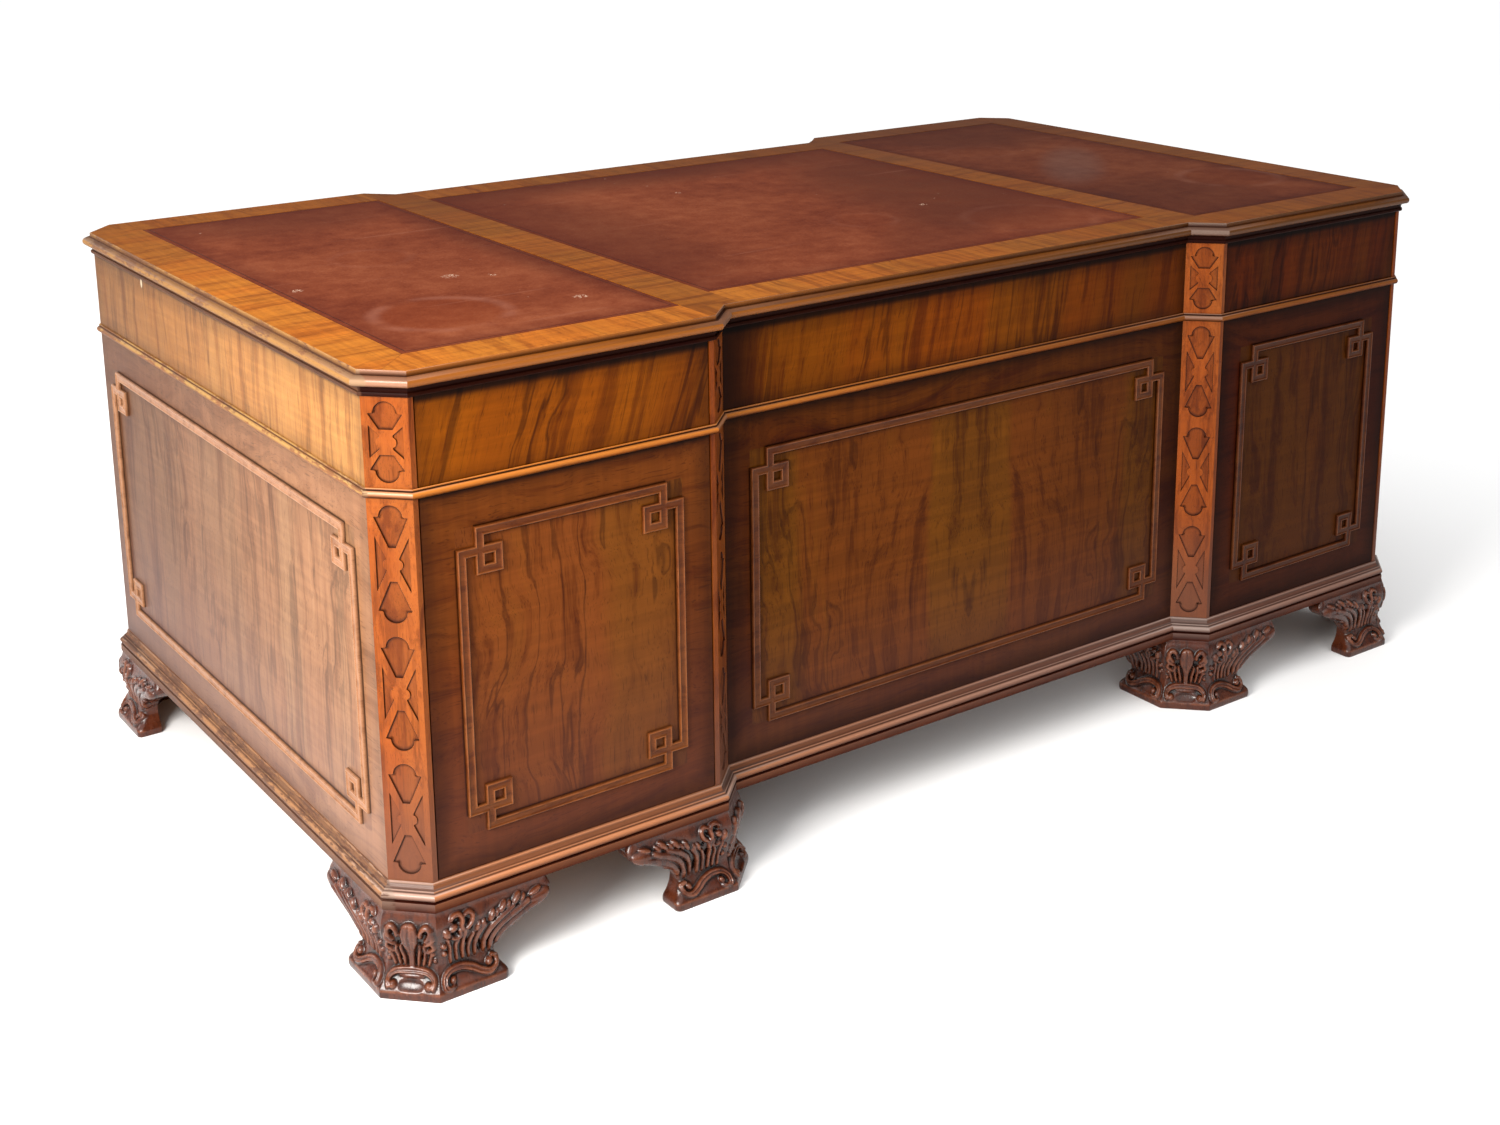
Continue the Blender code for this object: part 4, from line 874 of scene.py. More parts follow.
def make_knob(node):
    """A turned brass knob: a smooth profile of rose, neck and flattened ball turned about its axis."""
    low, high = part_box(node)
    length, radius = high.y - low.y, (high.x - low.x) / 2
    shares = ((0.02, 1.0), (0.28, 0.995), (0.58, 0.965), (0.84, 0.89), (0.955, 0.77), (0.90, 0.64), (0.66, 0.55),
              (0.42, 0.49), (0.34, 0.40), (0.33, 0.30), (0.42, 0.215), (0.50, 0.185), (0.50, 0.155), (0.66, 0.13),
              (0.88, 0.11), (0.98, 0.075), (1.0, 0.03), (0.99, 0.0), (0.02, 0.0))
    out, up = bowed(shares, 73).T
    angle = np.radians(np.arange(0, 360, 7.5))[:, None]
    reach = np.clip(out, 0.01, 1) * radius
    points = np.stack(((low.x + high.x) / 2 + reach * np.cos(angle),
                       low.y + np.clip(up, 0, 1) * length * np.ones_like(angle),
                       (low.z + high.z) / 2 + reach * np.sin(angle)), -1)
    rows, columns = points.shape[:2]
    faces, _ = weave(rows, columns, True)
    caps = np.arange(rows) * columns + np.array(((0,), (columns - 1,)))
    caps[0] = caps[0, ::-1]
    row, place = node.split("_")[1:3]
    drawer = "frieze_drawer_" + place if row == "frieze" else "drawer_" + row + "_" + place
    make_piece("turned_" + node, points, [faces, caps], [brass.material], [node], body=drawer, bend=60)


bead_wood = panel_finish("bead_wood", shades(1.0, (70, 36, 18), (110, 58, 30), (120, 70, 38)), "X", seed=17.0,
                         bold=0.2, sheen=0.3)
for node in list(nodes):
    if node.startswith("knob_"):
        make_knob(node)
    elif "drawer" in node and "frame" not in node:
        make_cock_bead(node)


# Posts with their blind fret

POST_BOTTOM, POST_TOP = PLINTH_TOP + GAP, TOP_UNDERSIDE - GAP
FRET_WIDE, FRET_HEAD, FRET_DEEP = 0.0205, 0.0145, 0.0022
FRET_GAP = 0.0161


def turned(points, cosine, sine, place):
    """Points turned about Z by the angle of this cosine and sine, then moved to their place."""
    x, y, z = np.moveaxis(points, -1, 0)
    return np.stack((x * cosine - y * sine, x * sine + y * cosine, z), -1) + place


def corner_places():
    """Name, plan corner and outward directions of each pedestal corner."""
    for side, sign in (("left", -1), ("right", 1)):
        for reach, x, outward in (("outer", HALF_LENGTH, sign), ("inner", KNEE_HALF, -sign)):
            for end, toward in (("front", -1), ("back", 1)):
                yield side + "_" + reach + "_" + end, sign * x, toward * HALF_DEPTH, outward, toward


def fret_loops():
    """Outlines of the pockets: round-headed drops, point to point, and the cuts beside their straps.

    A drop is a half circle, two nibs and straight sides to a narrow flat tip. A side cut runs along the
    straps and round a half-circle collar at the waist.
    """
    loops = []
    pitch = (WAIST_BOTTOM - PLINTH_TOP) / 3
    units = [(PLINTH_TOP + pitch * (i + 0.5), (pitch - FRET_GAP) / 2, (0.215, 0.281), 0.465) for i in range(3)]
    units.append(((TOP_UNDERSIDE + WAIST_TOP) / 2, (TOP_UNDERSIDE - WAIST_TOP - 0.012) / 2, (0.415, 0.306), 0.40))
    for middle, half, (tip, rise), top in units:
        centre = half - FRET_HEAD
        head = arc((0, centre), (FRET_HEAD, FRET_HEAD), 4, 176, 23)
        right = np.array(((FRET_WIDE * tip, half * rise), (FRET_WIDE - 0.0004, centre - 0.0018),
                          (FRET_WIDE, centre - 0.0010), (FRET_WIDE - 0.0002, centre - 0.0004),
                          (FRET_HEAD + 0.0012, centre + 0.0001)))
        drop = np.concatenate((head, (right * (-1, 1))[::-1], right))
        collar = arc((0.0080, 0), (0.0042, 0.0058), 80, -80, 11)
        edge = np.array(((FRET_WIDE, half * top), (0.0082, 0.0086), (0.0078, 0.0066)))
        cut = np.concatenate((edge, collar, (edge * (1, -1))[::-1]))
        for loop in (drop, (drop * (1, -1))[::-1], cut[::-1], cut * (-1, 1)):
            loops.append(loop + (0, middle))
    return loops


def flat_face(rings):
    """Triangles of a face with holes from its rings of points, the first ring outside."""
    points = np.concatenate(rings)
    places = np.split(np.arange(len(points)), np.cumsum([len(ring) for ring in rings])[:-1])
    edges = np.concatenate([np.stack((ring, np.roll(ring, -1)), -1) for ring in places])
    made = delaunay_2d_cdt(points.tolist(), edges.tolist(), [places[0].tolist()], 0, 1e-7)
    triangles = np.array(made[2])
    middle = np.array(made[0])[triangles].mean(1)
    inside = np.ones(len(triangles), bool)
    for ring in rings[1:]:
        away = ring[None] - middle[:, None]
        after = np.roll(away, -1, 1)
        swept = np.arctan2(away[..., 0] * after[..., 1] - away[..., 1] * after[..., 0], (away * after).sum(-1))
        inside &= np.abs(swept.sum(1)) < math.pi
    return triangles[inside]


def upright(flat, depth):
    """A face's points set back by a depth."""
    return np.stack((flat[:, 0], np.full(len(flat), -depth), flat[:, 1]), -1)


def band_between(ring, below):
    """Quads between two closed rings of as many points."""
    return np.stack((ring, np.roll(ring, -1), np.roll(below, -1), below), -1)


def make_posts():
    """The posts: a plan carried up, whose canted face is pierced by the pockets and backed by their floors.

    Each pocket's outline is carried inwards in three steps: a small round on the edge, the wall, the floor.
    """
    rebate, strip, back = 0.0183, CANT + 0.0065, CANT + 0.008
    corners = np.array(((0, CANT), (CANT, 0), (strip, 0), (strip, back), (rebate, back), (rebate, CANT)))
    plan = np.stack(((corners[:, 0] - corners[:, 1]), (CANT - corners.sum(1))), -1) / math.sqrt(2)
    half = plan[1, 0]
    rings = [np.array(((-half, POST_BOTTOM), (half, POST_BOTTOM), (half, POST_TOP), (-half, POST_TOP)))]
    rings += fret_loops()
    front = flat_face(rings)
    points, faces, which, marks = [upright(np.concatenate(rings), 0.0)], [front], [np.zeros(len(front))], [0]
    start, base = 4, len(points[0])
    for loop in rings[1:]:
        count = len(loop)
        middle = (loop.min(0) + loop.max(0)) / 2
        lip = loop + (middle - loop) * 0.012
        ring = start + np.arange(count)
        shade = lip + (middle - lip) * 0.2
        for step, (flat, depth) in enumerate(((lip, 0.0003), (lip, FRET_DEEP), (shade, FRET_DEEP))):
            points.append(upright(flat, depth))
            below = base + np.arange(count)
            faces.append(band_between(ring, below))
            which.append(np.full(count, step))
            ring, base = below, base + count
        faces.append(ring[flat_face([shade])])
        which.append(np.full(len(faces[-1]), 2))
        # the ring at the foot of each wall is marked to spread painted shade onto the floor
        marks += [0, 1, 0]
        start += count
    # the other sides of the post, from the canted face's own corners
    low = np.concatenate(((0, 1), base + np.arange(4)))
    high = np.concatenate(((3, 2), base + 4 + np.arange(4)))
    points += [np.concatenate((plan[2:], np.full((4, 1), level)), 1) for level in (POST_BOTTOM, POST_TOP)]
    after = np.arange(1, 7) % 6
    faces += [np.stack((low[1:], low[after][1:], high[after][1:], high[1:]), -1), low[None, ::-1], high[None]]
    which += [np.full(5, 3), np.zeros(1), np.zeros(1)]
    shaded = np.concatenate([np.full(len(p), mark) for p, mark in zip(points, marks + [0, 0])])
    points, which = np.concatenate(points), np.concatenate(which)
    tones = shades(CORNER, (110, 50, 22), (176, 88, 38), (182, 99, 46))
    finishes = []
    # darker copies of the post's wood are painted shade: on the fret's walls and floors, and on the sides away from
    # the canted face
    for name, painted_shade in (("post_wood", 0.0), ("fret_wall", 0.8), ("fret_ground", 0.25), ("post_side", 0.3)):
        f = Finish(name, Specular_IOR_Level=0.1)
        place = f.place()
        colour, relief = walnut(f, place, tones, "Z", 0.35, 0.15, 13.0, 0.6)
        cloud = f.noise(place, (9.0, 9.0, 5.0))
        colour = f.mix(cloud * 0.2 + painted_shade, colour, tone(56, 24, 12, CORNER))
        # darker and purplish towards the foot, with a painted reflection of the floor
        colour = f.mix(f.parts(place)[2].rise(0.36, 0.16) * 0.8, colour, tone(122, 80, 64, CORNER))
        # painted shade on the pocket floors along their walls
        if name == "fret_ground":
            colour = f.mix(f.mark("shade") * 0.9, colour, tone(40, 16, 8, CORNER))
        finishes.append(f.coat(colour, cloud * 0.15 + 0.26, relief))
    for name, x, y, outward, toward in corner_places():
        angle = math.atan2(-outward, toward)
        centre = (x - outward * CANT / 2, y - toward * CANT / 2, 0)
        post = turned(points * (-outward * toward, 1, 1), math.cos(angle), math.sin(angle), centre)
        make_piece("fretted_post_" + name, post, faces, finishes, ["post_" + name],
                   which=which, bend=40, marks={"shade": shaded})


make_posts()


# Key-pattern frames

KEY_UNIT = 0.012
KEY_CORNER = np.array(((0, 2, 3, 3), (2, 0, 3, 3), (2, 4, 5, 5), (4, 2, 5, 5), (2, 2, 3, 5), (2, 2, 5, 3)))


def key_bars(width, height):
    """The bars of a key-pattern frame: four sides and the same key of six bars in each corner."""
    w, h = width / KEY_UNIT, height / KEY_UNIT
    bars = [np.array(((0, 2, 1, h - 2), (2, 0, w - 2, 1), (w - 1, 2, w, h - 2), (2, h - 1, w - 2, h)))]
    a, b, c, d = KEY_CORNER.T
    for left, right in ((a, c), (w - c, w - a)):
        for foot, head in ((b, d), (h - d, h - b)):
            bars.append(np.stack((left, foot, right, head), -1))
    return np.concatenate(bars) * KEY_UNIT


def make_key_frame(node, along, face_to, tones, rubbed_highlight):
    """A key-pattern frame as a height over a grid whose lines are drawn at the steps of its moulding.

    The height depends on the distance to the nearest edge, the larger of the two offsets along the sides,
    so the moulding is mitred at every corner: a wall, a small round arris and a shallow hollow.
    """
    low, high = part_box(node)
    span = (high[along] - low[along], high[2] - low[2])
    reach = np.array((0.0, 0.0003, 0.0009, 0.0017, 0.0026, 0.0036, 0.0060))
    rise = np.array((0.0028, 0.0036, 0.0044, 0.0046, 0.0041, 0.0035, 0.0033))
    bars = key_bars(*span)

    def lines(values, length):
        """The places of the bars' edges and of the moulding's steps on both sides of each."""
        marks = np.unique(np.round(values, 7))
        spread = np.unique(np.round(marks[:, None] + np.concatenate((-reach, reach)), 6))
        spread = spread[np.concatenate(((True,), np.diff(spread) > 1e-5))]
        return spread[(spread >= 0) & (spread <= length + 1e-6)]

    def offsets(marks, length):
        """How far each line lies from each strip between two lines, and from the open strips outside."""
        edges = np.concatenate(((-1,), marks, (length + 1,)))
        return np.maximum(np.maximum(edges[:-1, None] - marks, marks - edges[1:, None]), 0)

    x, y = lines(bars[:, (0, 2)], span[0]), lines(bars[:, (1, 3)], span[1])
    mid_x, mid_y = (x[1:] + x[:-1]) / 2, (y[1:] + y[:-1]) / 2
    a, b, c, d = bars.T[..., None]
    kept = (((mid_x > a) & (mid_x < c))[:, :, None] & ((mid_y > b) & (mid_y < d))[:, None]).any(0)
    framed = np.pad(kept, 1)
    nearest = np.where(framed[..., None], np.inf, offsets(y, span[1])).min(1)
    distance = np.maximum(offsets(x, span[0])[:, :, None], nearest[:, None]).min(0)
    height = np.interp(distance, reach, rise).ravel()
    size = len(height)
    index = np.arange(size).reshape(len(x), len(y))
    cells = np.stack((index[:-1, :-1], index[1:, :-1], index[1:, 1:], index[:-1, 1:]), -1)
    # each cell is cut along the diagonal that keeps the mitre sharp
    quads = cells[kept]
    tall = height[quads]
    level = np.abs(tall[:, 0] - tall[:, 2]) < np.abs(tall[:, 1] - tall[:, 3])
    quads = np.where(level[:, None], np.roll(quads, -1, 1), quads)
    faces = [np.concatenate((quads[:, (0, 1, 2)], quads[:, (0, 2, 3)])), quads[:, ::-1] + size]
    for beside, first, last in ((framed[:-2, 1:-1], 3, 0), (framed[2:, 1:-1], 1, 2),
                                (framed[1:-1, :-2], 0, 1), (framed[1:-1, 2:], 2, 3)):
        one, two = cells[kept & ~beside][:, (first, last)].T
        faces.append(np.stack((one + size, two + size, two, one), -1))
    points = np.zeros((2, len(x), len(y), 3))
    points[..., along] = low[along] + x[:, None]
    points[..., 2] = low[2] + y
    points[..., 1 - along] = high[1 - along] if face_to < 0 else low[1 - along]
    points[0, ..., 1 - along] += face_to * height.reshape(len(x), len(y))
    used = np.unique(np.concatenate([f.ravel() for f in faces]))
    place = np.full(2 * size, -1)
    place[used] = np.arange(len(used))
    # the back points carry painted shade up the walls, and the top of the arris a painted highlight
    back = np.repeat((0.0, 1.0), size)
    nose = (1 - back) * np.clip((np.tile(height, 2) - 0.0041) / 0.0004, 0, 1)
    make_piece("moulded_" + node, points.reshape(-1, 3)[used], [place[f] for f in faces],
               [key_wood_finish(node.replace("frame", "wood"), tones, rubbed_highlight)], [node], bend=25,
               marks={"nose": nose[used], "hollow": back[used]})


def key_wood_finish(name, tones, rubbed_highlight):
    """Walnut of the applied frames: painted shade at the foot of the walls, and a painted highlight on the arris,
    broken by rubbing.
    """
    f = Finish(name, Specular_IOR_Level=0.12)
    place = f.place()
    colour, relief = walnut(f, place, tones, "X", 0.2, 0.1, 14.0, 0.6)
    rub = f.noise(place, 40.0, 3.0, 0.6)
    # painted shade at the foot of the walls
    colour = f.mix(f.mark("hollow") * 0.75, colour, tone(34, 16, 10, NEAR))
    # painted highlight on the arris, broken by rubbing
    colour = f.mix(f.mark("nose") * rub.rise(0.2, 0.6) * 0.5, colour, rubbed_highlight)
    return f.coat(colour, rub * 0.12 + 0.26, relief)


# Each frame's tones are seen under its side's light, the last its painted highlight; the sets darken from the left
# frame to the centre and right ones, painted shade
shaded_walnut = ((56, 30, 17), (90, 50, 31), (96, 56, 35), (150, 98, 70))
for part, along, face_to, light, woods in (
        ("left", 0, -1, NEAR, ((76, 38, 20), (116, 63, 35), (122, 70, 40), (186, 116, 70))),
        ("centre", 0, -1, MIDDLE, shaded_walnut),
        ("right", 0, -1, FAR, ((46, 25, 14), (72, 41, 26), (78, 46, 30), (124, 76, 50))),
        ("left_end", 1, -1, END, ((160, 102, 66), (214, 150, 108), (218, 156, 114), (238, 180, 138))),
        ("right_end", 1, 1, MIDDLE, shaded_walnut)):
    *tones, rubbed_highlight = shades(light, *woods)
    make_key_frame("key_frame_" + part, along, face_to, tones, rubbed_highlight)


# Carved feet

FOOT_HEIGHT = 0.1114
FOOT_FLARE = 0.0244
FOOT_REACH = 0.152
FOOT_ROUND = 0.0075
FOOT_BACK, FOOT_INNER = 0.012, 0.052
CARVED_FROM, CARVED_TO, CARVED_FADE = 0.0095, 0.1085, 0.004
# Shares of the height, of the flare and of the reach, going up
FOOT_SHARES = np.array((
    (0.0, 0.965, 0.55), (0.02, 1.0, 0.56), (0.085, 1.0, 0.56), (0.115, 0.94, 0.55), (0.165, 0.74, 0.52),
    (0.26, 0.48, 0.49), (0.365, 0.32, 0.48), (0.48, 0.36, 0.545), (0.58, 0.49, 0.67), (0.675, 0.62, 0.81),
    (0.76, 0.70, 0.935), (0.83, 0.68, 0.985), (0.90, 0.575, 1.0), (0.96, 0.47, 0.98), (1.0, 0.43, 0.965)))


def smoothed(values, spread, axis=0):
    """Values averaged with a bell of this spread in steps, the ends held."""
    reach = int(3 * spread) + 1
    bell = np.exp(-0.5 * (np.arange(-reach, reach + 1) / spread) ** 2)
    bell = bell / bell.sum()
    padded = np.concatenate((np.repeat(values.take([0], axis), reach, axis), values,
                             np.repeat(values.take([-1], axis), reach, axis)), axis)
    count = values.shape[axis]
    return sum(b * padded.take(np.arange(i, i + count), axis) for i, b in enumerate(bell))


def beside(u, v, path, widths, fade):
    """Share of the half width at each point beside a path, and how far the shape has risen from the path's start.

    Each point goes by the nearest point of the path's straight steps: the half width by its share of the way
    along, the rise by the root of that share over the fade.
    """
    start, step = path[:-1], np.diff(path, axis=0)
    away = np.stack((u, v), -1)[..., None, :] - start
    share = np.clip((away * step).sum(-1) / (step ** 2).sum(-1), 0, 1)
    distance = np.linalg.norm(away - share[..., None] * step, axis=-1)
    lengths = np.linalg.norm(step, axis=1)
    gone = (np.cumsum(lengths) - lengths + share * lengths) / lengths.sum()
    near = distance.argmin(-1)[..., None]
    gone, distance = (np.take_along_axis(values, near, -1)[..., 0] for values in (gone, distance))
    width = np.interp(gone, np.linspace(0, 1, len(widths)), widths)
    return distance / width, np.clip(gone / fade, 0, 1) ** 0.5


def rib(u, v, points, widths, height):
    """A round ridge along a path: its height times the root of 1 minus the squared share of its half width."""
    across, risen = beside(u, v, bowed(points), widths, 0.12)
    return height * risen * np.sqrt(np.clip(1 - across ** 2, 0, 1))


def lobe(u, v, centre, radii, turn, height):
    """A half ellipsoid, turned: its height times the root of 1 minus the squared shares of its radii."""
    cosine, sine = math.cos(math.radians(turn)), math.sin(math.radians(turn))
    x, y = u - centre[0], v - centre[1]
    reach = ((x * cosine + y * sine) / radii[0]) ** 2 + ((y * cosine - x * sine) / radii[1]) ** 2
    return height * np.sqrt(np.clip(1 - reach, 0, 1))


def ribbon(u, v, points, widths, height, fade):
    """A scroll's band: the root of 1 minus the fourth power of the share of its half width, less a middle groove."""
    across, risen = beside(u, v, bowed(points, 40), widths, fade)
    band = np.sqrt(np.clip(1 - across ** 4, 0, 1)) - 0.38 * np.clip(1 - (across / 0.42) ** 2, 0, 1)
    return height * risen * band * (across < 1)


def carved(u, v, ribs, lobes, scroll, hollows, leaf=0.0):
    """The highest of a leaf, ribs, lobes and a scroll's band at each point, less the hollows."""
    raised = [rib(u, v, *row) for row in ribs] + [lobe(u, v, *row) for row in lobes]
    relief = np.maximum.reduce([leaf + 0 * u, ribbon(u, v, *scroll)] + raised)
    return relief - sum(lobe(u, v, *row) for row in hollows)


# Carving of an arm, in millimetres from the corner and up. A rib is its path, half widths and height;
# a lobe its middle, radii, turn and height
ARM_RIBS = (
    (((77, 36), (80, 52), (92, 65), (112, 77), (134, 86)), (3.6, 4.6, 5.6, 6.2, 5.2), 5.4),
    (((68, 37), (71, 54), (82, 69), (100, 81), (122, 91)), (3.2, 4.2, 5.0, 5.6, 4.4), 5.8),
    (((60, 38), (62, 56), (71, 71), (86, 83), (102, 91)), (2.6, 3.4, 4.4, 4.6, 3.6), 5.4),
    (((49, 38), (49, 54), (54, 68), (63, 80)), (2.4, 3.0, 3.8, 3.8), 5.0),
    (((41, 38), (40, 52), (43, 64), (48, 73)), (2.2, 2.8, 3.0, 2.4), 4.4),
    (((33, 39), (32, 54), (34, 68), (37, 80)), (2.0, 2.8, 3.2, 3.2), 5.2),
    (((25, 39), (24, 52), (24, 64), (28, 72)), (2.0, 2.6, 2.8, 2.4), 4.4),
    (((17, 38), (16, 50), (16, 62), (14, 74)), (1.9, 2.4, 2.6, 2.6), 4.2),
    (((18, 96), (22, 102), (30, 102), (34, 96), (33, 88), (36, 82)), (2.6, 3.0, 3.2, 3.4, 3.2, 2.8), 5.4),
    (((34, 98), (42, 102), (48, 97), (46, 89), (40, 84)), (2.4, 2.9, 3.2, 3.2, 3.0), 5.2),
    (((18, 76), (25, 73), (31, 76), (30, 83)), (2.2, 2.8, 3.0, 2.6), 4.8))
ARM_LOBES = (
    ((9, 54), (3.8, 3.8), 0, 5.0), ((8.5, 66), (4.2, 3.6), 0, 5.0), ((13, 83), (5.2, 7.4), 15, 5.8),
    ((22, 88), (6.0, 4.2), 20, 4.8), ((54, 80), (7.5, 3.4), 62, 5.4), ((61, 82), (3.2, 6.0), -30, 4.6),
    ((73, 88), (8.2, 4.0), 62, 6.2), ((80, 89), (3.2, 6.0), -30, 5.0), ((88, 94), (8.0, 4.2), 52, 6.2),
    ((96, 94), (3.4, 5.6), -34, 5.0), ((107, 98), (8.6, 4.6), 46, 6.4), ((115, 96), (3.6, 6.2), -40, 5.2),
    ((138, 90), (17, 9.0), 14, 5.0), ((133, 99), (9.5, 3.6), 18, 6.0), ((101, 66), (8, 3.0), 38, 4.2),
    ((118, 77), (8, 3.0), 30, 4.2), ((18.5, 20.5), (4.2, 4.2), 0, 5.6), ((67, 26.5), (5.0, 5.0), 0, 6.0))
ARM_SCROLL = (
    ((22, 16), (15, 12.5), (8, 16), (8, 25), (16, 31), (30, 31.5), (44, 27), (56, 20.5), (68, 17), (76, 21), (76, 29),
     (70, 32.5)), (2.0, 2.8, 3.6, 4.2, 4.4, 4.4, 4.2, 3.8, 3.4, 2.8, 2.2), 5.6, 0.05)
ARM_HOLLOWS = (
    ((24.5, 80.5), (4.2, 3.2), 20, 4.2), ((26.5, 95.5), (4.4, 3.2), 10, 4.2), ((37, 66), (1.8, 7), 0, 4.2),
    ((40.5, 92), (2.4, 3.4), 0, 4.2), ((54.5, 50), (2.6, 9), 8, 4.2), ((46, 80), (2.0, 3.6), -30, 4.2))

# Carving of a canted face, mirrored about its middle, in millimetres from there and up
CANT_RIBS = (
    (((8, 38), (9, 50), (11, 60), (12, 68)), (2.0, 2.6, 2.8, 2.2), 4.8),
    (((14, 38), (16, 50), (18, 60), (17, 68)), (2.0, 2.6, 2.8, 2.4), 4.4),
    (((20, 38), (23, 48), (25, 56), (24, 64)), (1.9, 2.4, 2.6, 2.2), 4.0),
    (((14, 80), (16, 90), (22, 95), (27, 90), (25, 83), (21, 78)), (2.6, 3.2, 3.6, 3.6, 3.4, 3.0), 5.6),
    (((17, 70), (23, 73), (29, 79), (28, 87)), (2.6, 3.2, 3.4, 2.6), 5.2),
    (((19, 58), (24, 62), (29, 66), (28, 73)), (2.4, 2.8, 3.0, 2.4), 4.8))
CANT_LOBES = (((27, 57), (3.6, 3.6), 0, 4.2), ((29, 47), (3.4, 3.4), 0, 4.0), ((22.5, 18), (4.6, 4.6), 0, 5.6),
              ((0, 27.5), (17, 2.6), 0, 3.0))
CANT_SCROLL = (((27, 14), (29, 20), (27, 27), (19, 32.5), (9, 34), (0, 34.2)), (2.6, 3.4, 4.0, 4.6, 5.0, 5.0), 5.8,
               0.02)
CANT_HOLLOWS = (((20.5, 87), (3.0, 2.6), 0, 4.0), ((13.8, 71), (2.4, 3.2), 0, 4.0), ((13, 50), (1.6, 4.4), 0, 4.0),
                ((23, 67), (2.4, 2.0), 0, 4.0), ((0, 17), (16, 8), 0, 2.6))


def cant_leaf(u, v):
    """A broad leaf on a stem, flat across to near its edges, its half width given by height.

    Its height is the root of 1 minus the fourth power of the share of that half width. Three bell-shaped
    grooves go off it, one down its middle and one on each half.
    """
    half = np.interp(v, (36, 52, 62, 72, 85, 94, 98, 100), (3.6, 4.2, 6.0, 10.0, 12.0, 9.5, 5.5, 0.01))
    leaf = 5.6 * np.sqrt(np.clip(1 - (u / half) ** 4, 0, 1)) * np.clip((100 - v) / 4, 0, 1) ** 0.5
    leaf = leaf - 1.5 * np.exp(-(u / 0.9) ** 2) - 0.8 * np.exp(-((u - 0.5 * half) / 1.0) ** 2)
    return leaf * (v > 36) * (u < half)


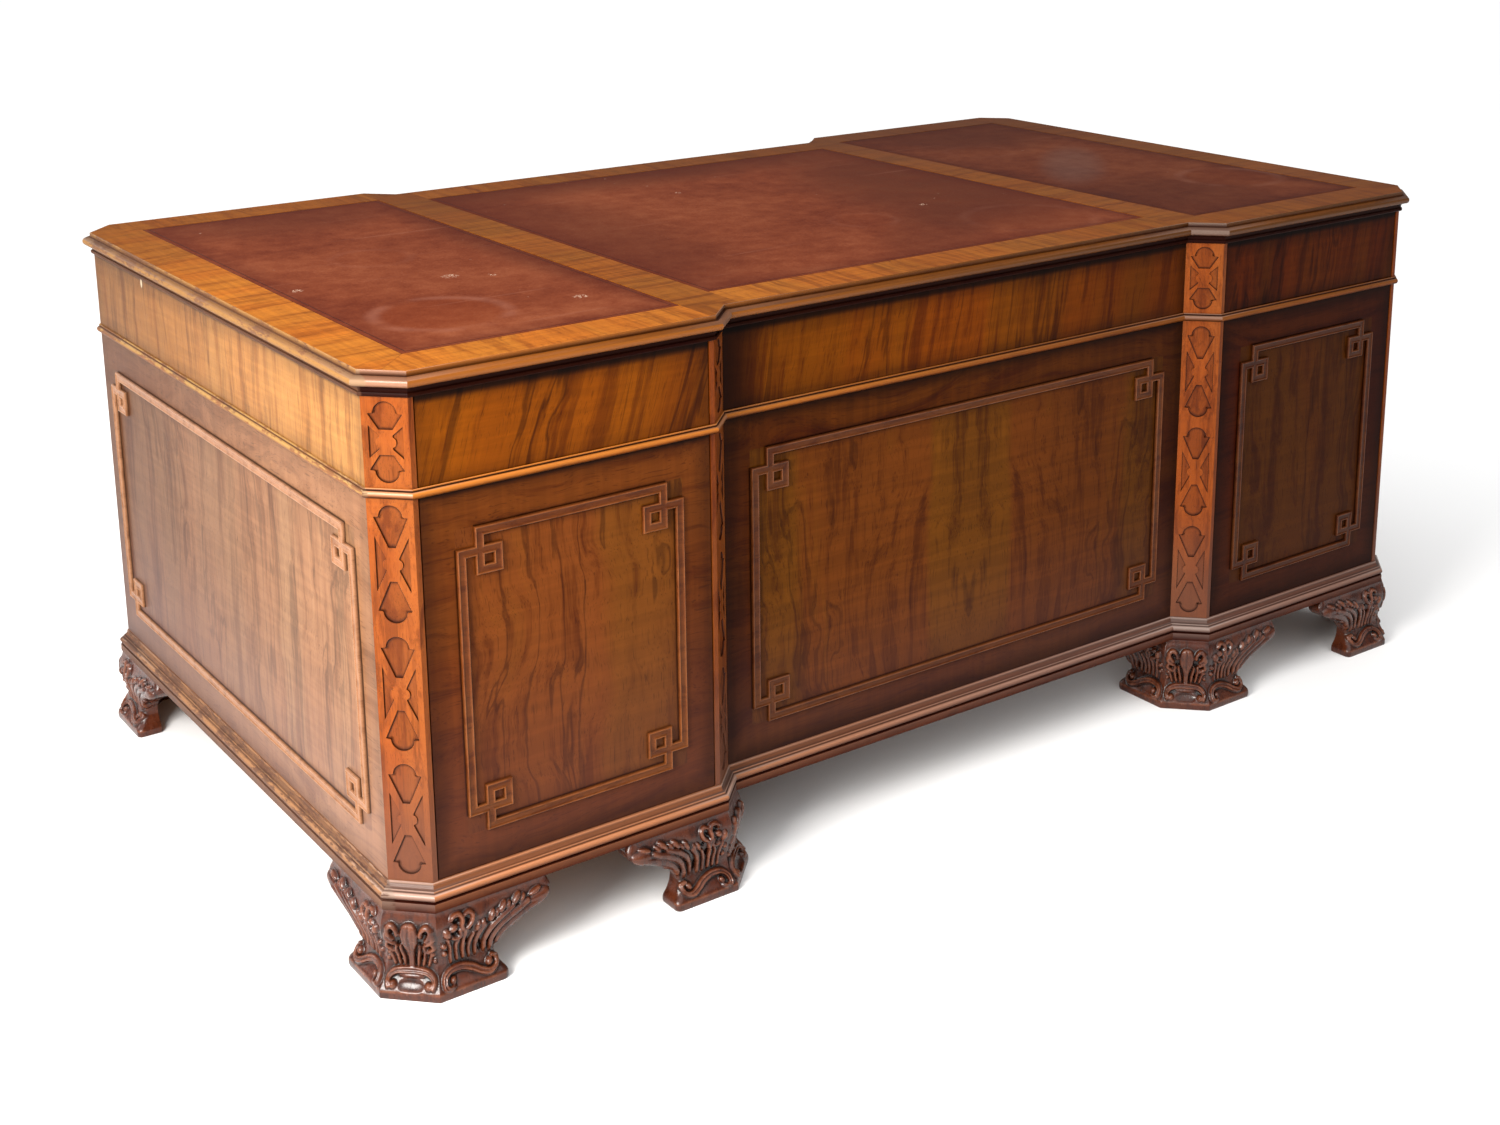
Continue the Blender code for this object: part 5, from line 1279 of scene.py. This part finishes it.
def foot_surface():
    """Points of a foot at the plan's corner, with arms along -X and -Y, and its two painted marks: the noses and rim,
    for a painted highlight and wear, and the hollows, for painted shade.

    The plan is a loop at each height: arm, rounded end, back, other arm. Its flare and its reach are smooth
    curves of the height. The carving moves the outer points along the surface's normal.
    """
    rows, face_steps, half_cant, end_steps = 150, 168, 38, 10  # steps up, along an arm, over half a cant, round an end
    height = np.linspace(0, FOOT_HEIGHT, rows)[:, None]
    fine = np.linspace(0, 1, 401)
    out, end = (size * np.interp(height / FOOT_HEIGHT, fine, smoothed(np.interp(fine, FOOT_SHARES[:, 0], shares), 5.0))
                for size, shares in ((FOOT_FLARE, FOOT_SHARES[:, 1]), (FOOT_REACH, FOOT_SHARES[:, 2])))
    end = CANT + end
    corner = CANT - out * math.tan(math.pi / 8)
    flat = end - FOOT_ROUND - corner
    # one half of the outer path, from the middle of the cant to the arm's end
    across = np.linspace(0, 1, half_cant)[None, :-1]
    middle = (out - corner) / 2
    cant_x = middle + (out - middle) * across
    cant_y = middle - (corner + middle) * across
    along = flat * np.linspace(0, 1, face_steps)[None]
    turn = np.radians(np.linspace(0, 90, end_steps + 1))[None, 1:]
    round_end = flat + FOOT_ROUND * np.sin(turn)
    x = np.concatenate((cant_x, np.broadcast_to(out, along.shape), out - FOOT_ROUND * (1 - np.cos(turn))), 1)
    y = np.concatenate((cant_y, -corner - along, -corner - round_end), 1)
    z = np.broadcast_to(height, x.shape)
    # the relief, in millimetres, dies away at the arm's end, the top and the base
    off_corner = np.concatenate((0 * cant_x, along, round_end), 1) * 1000
    relief = carved(off_corner, z * 1000, ARM_RIBS, ARM_LOBES, ARM_SCROLL, ARM_HOLLOWS)
    off_middle, up = np.hypot(cant_x - middle, cant_y - middle) * 1000, z[:, :half_cant - 1] * 1000
    relief[:, :half_cant - 1] = carved(off_middle, up, CANT_RIBS, CANT_LOBES, CANT_SCROLL, CANT_HOLLOWS,
                                       cant_leaf(off_middle, up))
    ease = np.clip((np.arange(x.shape[1])[::-1] + 1) / end_steps, 0, 1) ** 0.5
    relief = relief * ease * np.clip(np.minimum(CARVED_TO - z, z - CARVED_FROM) / CARVED_FADE, 0, 1)
    whole = np.concatenate((relief[:, :0:-1], relief), 1)
    whole = smoothed(smoothed(whole, 0.7, 0), 0.7, 1)
    broad = smoothed(smoothed(whole, 5.5, 0), 5.5, 1)
    # marks: ridges standing above their broad relief, and the rim, take a painted highlight and wear; recesses take
    # painted shade
    rim = np.exp(-((height - CARVED_FROM - GAP) / 0.0016) ** 2)
    nose = np.maximum(np.clip((whole - broad - 0.3) / 1.6, 0, 1), rim)
    hollow = np.clip((broad - whole - 0.3) / 1.5, 0, 1)
    base = np.stack((x, y, z), -1)
    outer = np.concatenate((base[:, :0:-1, (1, 0, 2)], base), 1)
    outward = np.cross(np.gradient(outer, axis=0), np.gradient(outer, axis=1)) * (1, 1, 0.6)
    outward = outward / np.linalg.norm(outward, axis=-1, keepdims=True)
    outer = outer + outward * ((whole - 0.5 * np.clip(broad, 0, 1)) * 0.001)[..., None]
    # the back of the arms, with its plain inner corner
    back, inner = np.full_like(height, -FOOT_BACK), np.full_like(height, -FOOT_INNER)
    steps = np.linspace(0, 1, 6)[None, 1:, None]
    tail = outer[:, -1:]
    wall = np.concatenate((back, -end, height), 1)[:, None]
    bend = np.concatenate((back, inner, height), 1)[:, None]
    half_back = np.concatenate((tail + (wall - tail) * steps, bend), 1)
    loop = np.concatenate((outer, half_back, half_back[:, ::-1, (1, 0, 2)]), 1)
    plain = np.zeros((rows, loop.shape[1] - outer.shape[1]))
    return loop, np.concatenate((nose, plain), 1), np.concatenate((hollow, plain), 1)


def make_feet():
    """The carved foot, turned by quarter turns under each corner of each pedestal."""
    loop, nose, hollow = foot_surface()
    rows, columns = loop.shape[:2]
    sides, _ = weave(rows, columns, False, True)
    caps = np.stack((np.arange(columns)[::-1], np.arange(columns) + (rows - 1) * columns))
    f = Finish("carved_wood", Specular_IOR_Level=0.4)
    place = f.place()
    colour, relief = walnut(f, place, shades(NEAR, (44, 21, 16), (92, 48, 35), (97, 53, 38)), "Z", 0.2, 0.1, 15.0, 0.5)
    rub = f.noise(place, 70.0, 3.0, 0.6)
    # painted shade in the carving's hollows
    colour = f.mix(f.mark("hollow") * 0.9, colour, tone(18, 9, 8, NEAR))
    # painted highlight on the ridges, with wear on them and on the rim
    colour = f.mix(f.mark("nose") * rub.rise(0.3, 0.62) * 0.6, colour, tone(150, 90, 62, NEAR))
    finish = f.coat(colour, rub * 0.2 + 0.16, relief, 0.0003, 0.4)
    for name, x, y, outward, toward in corner_places():
        under = turned(loop, (outward + toward) // 2, (toward - outward) // 2, (x, y, 0))
        make_piece("carved_foot_" + name, under, [sides, caps], [finish], ["foot_" + name],
                   marks={"nose": nose, "hollow": hollow}, bend=50)


make_feet()
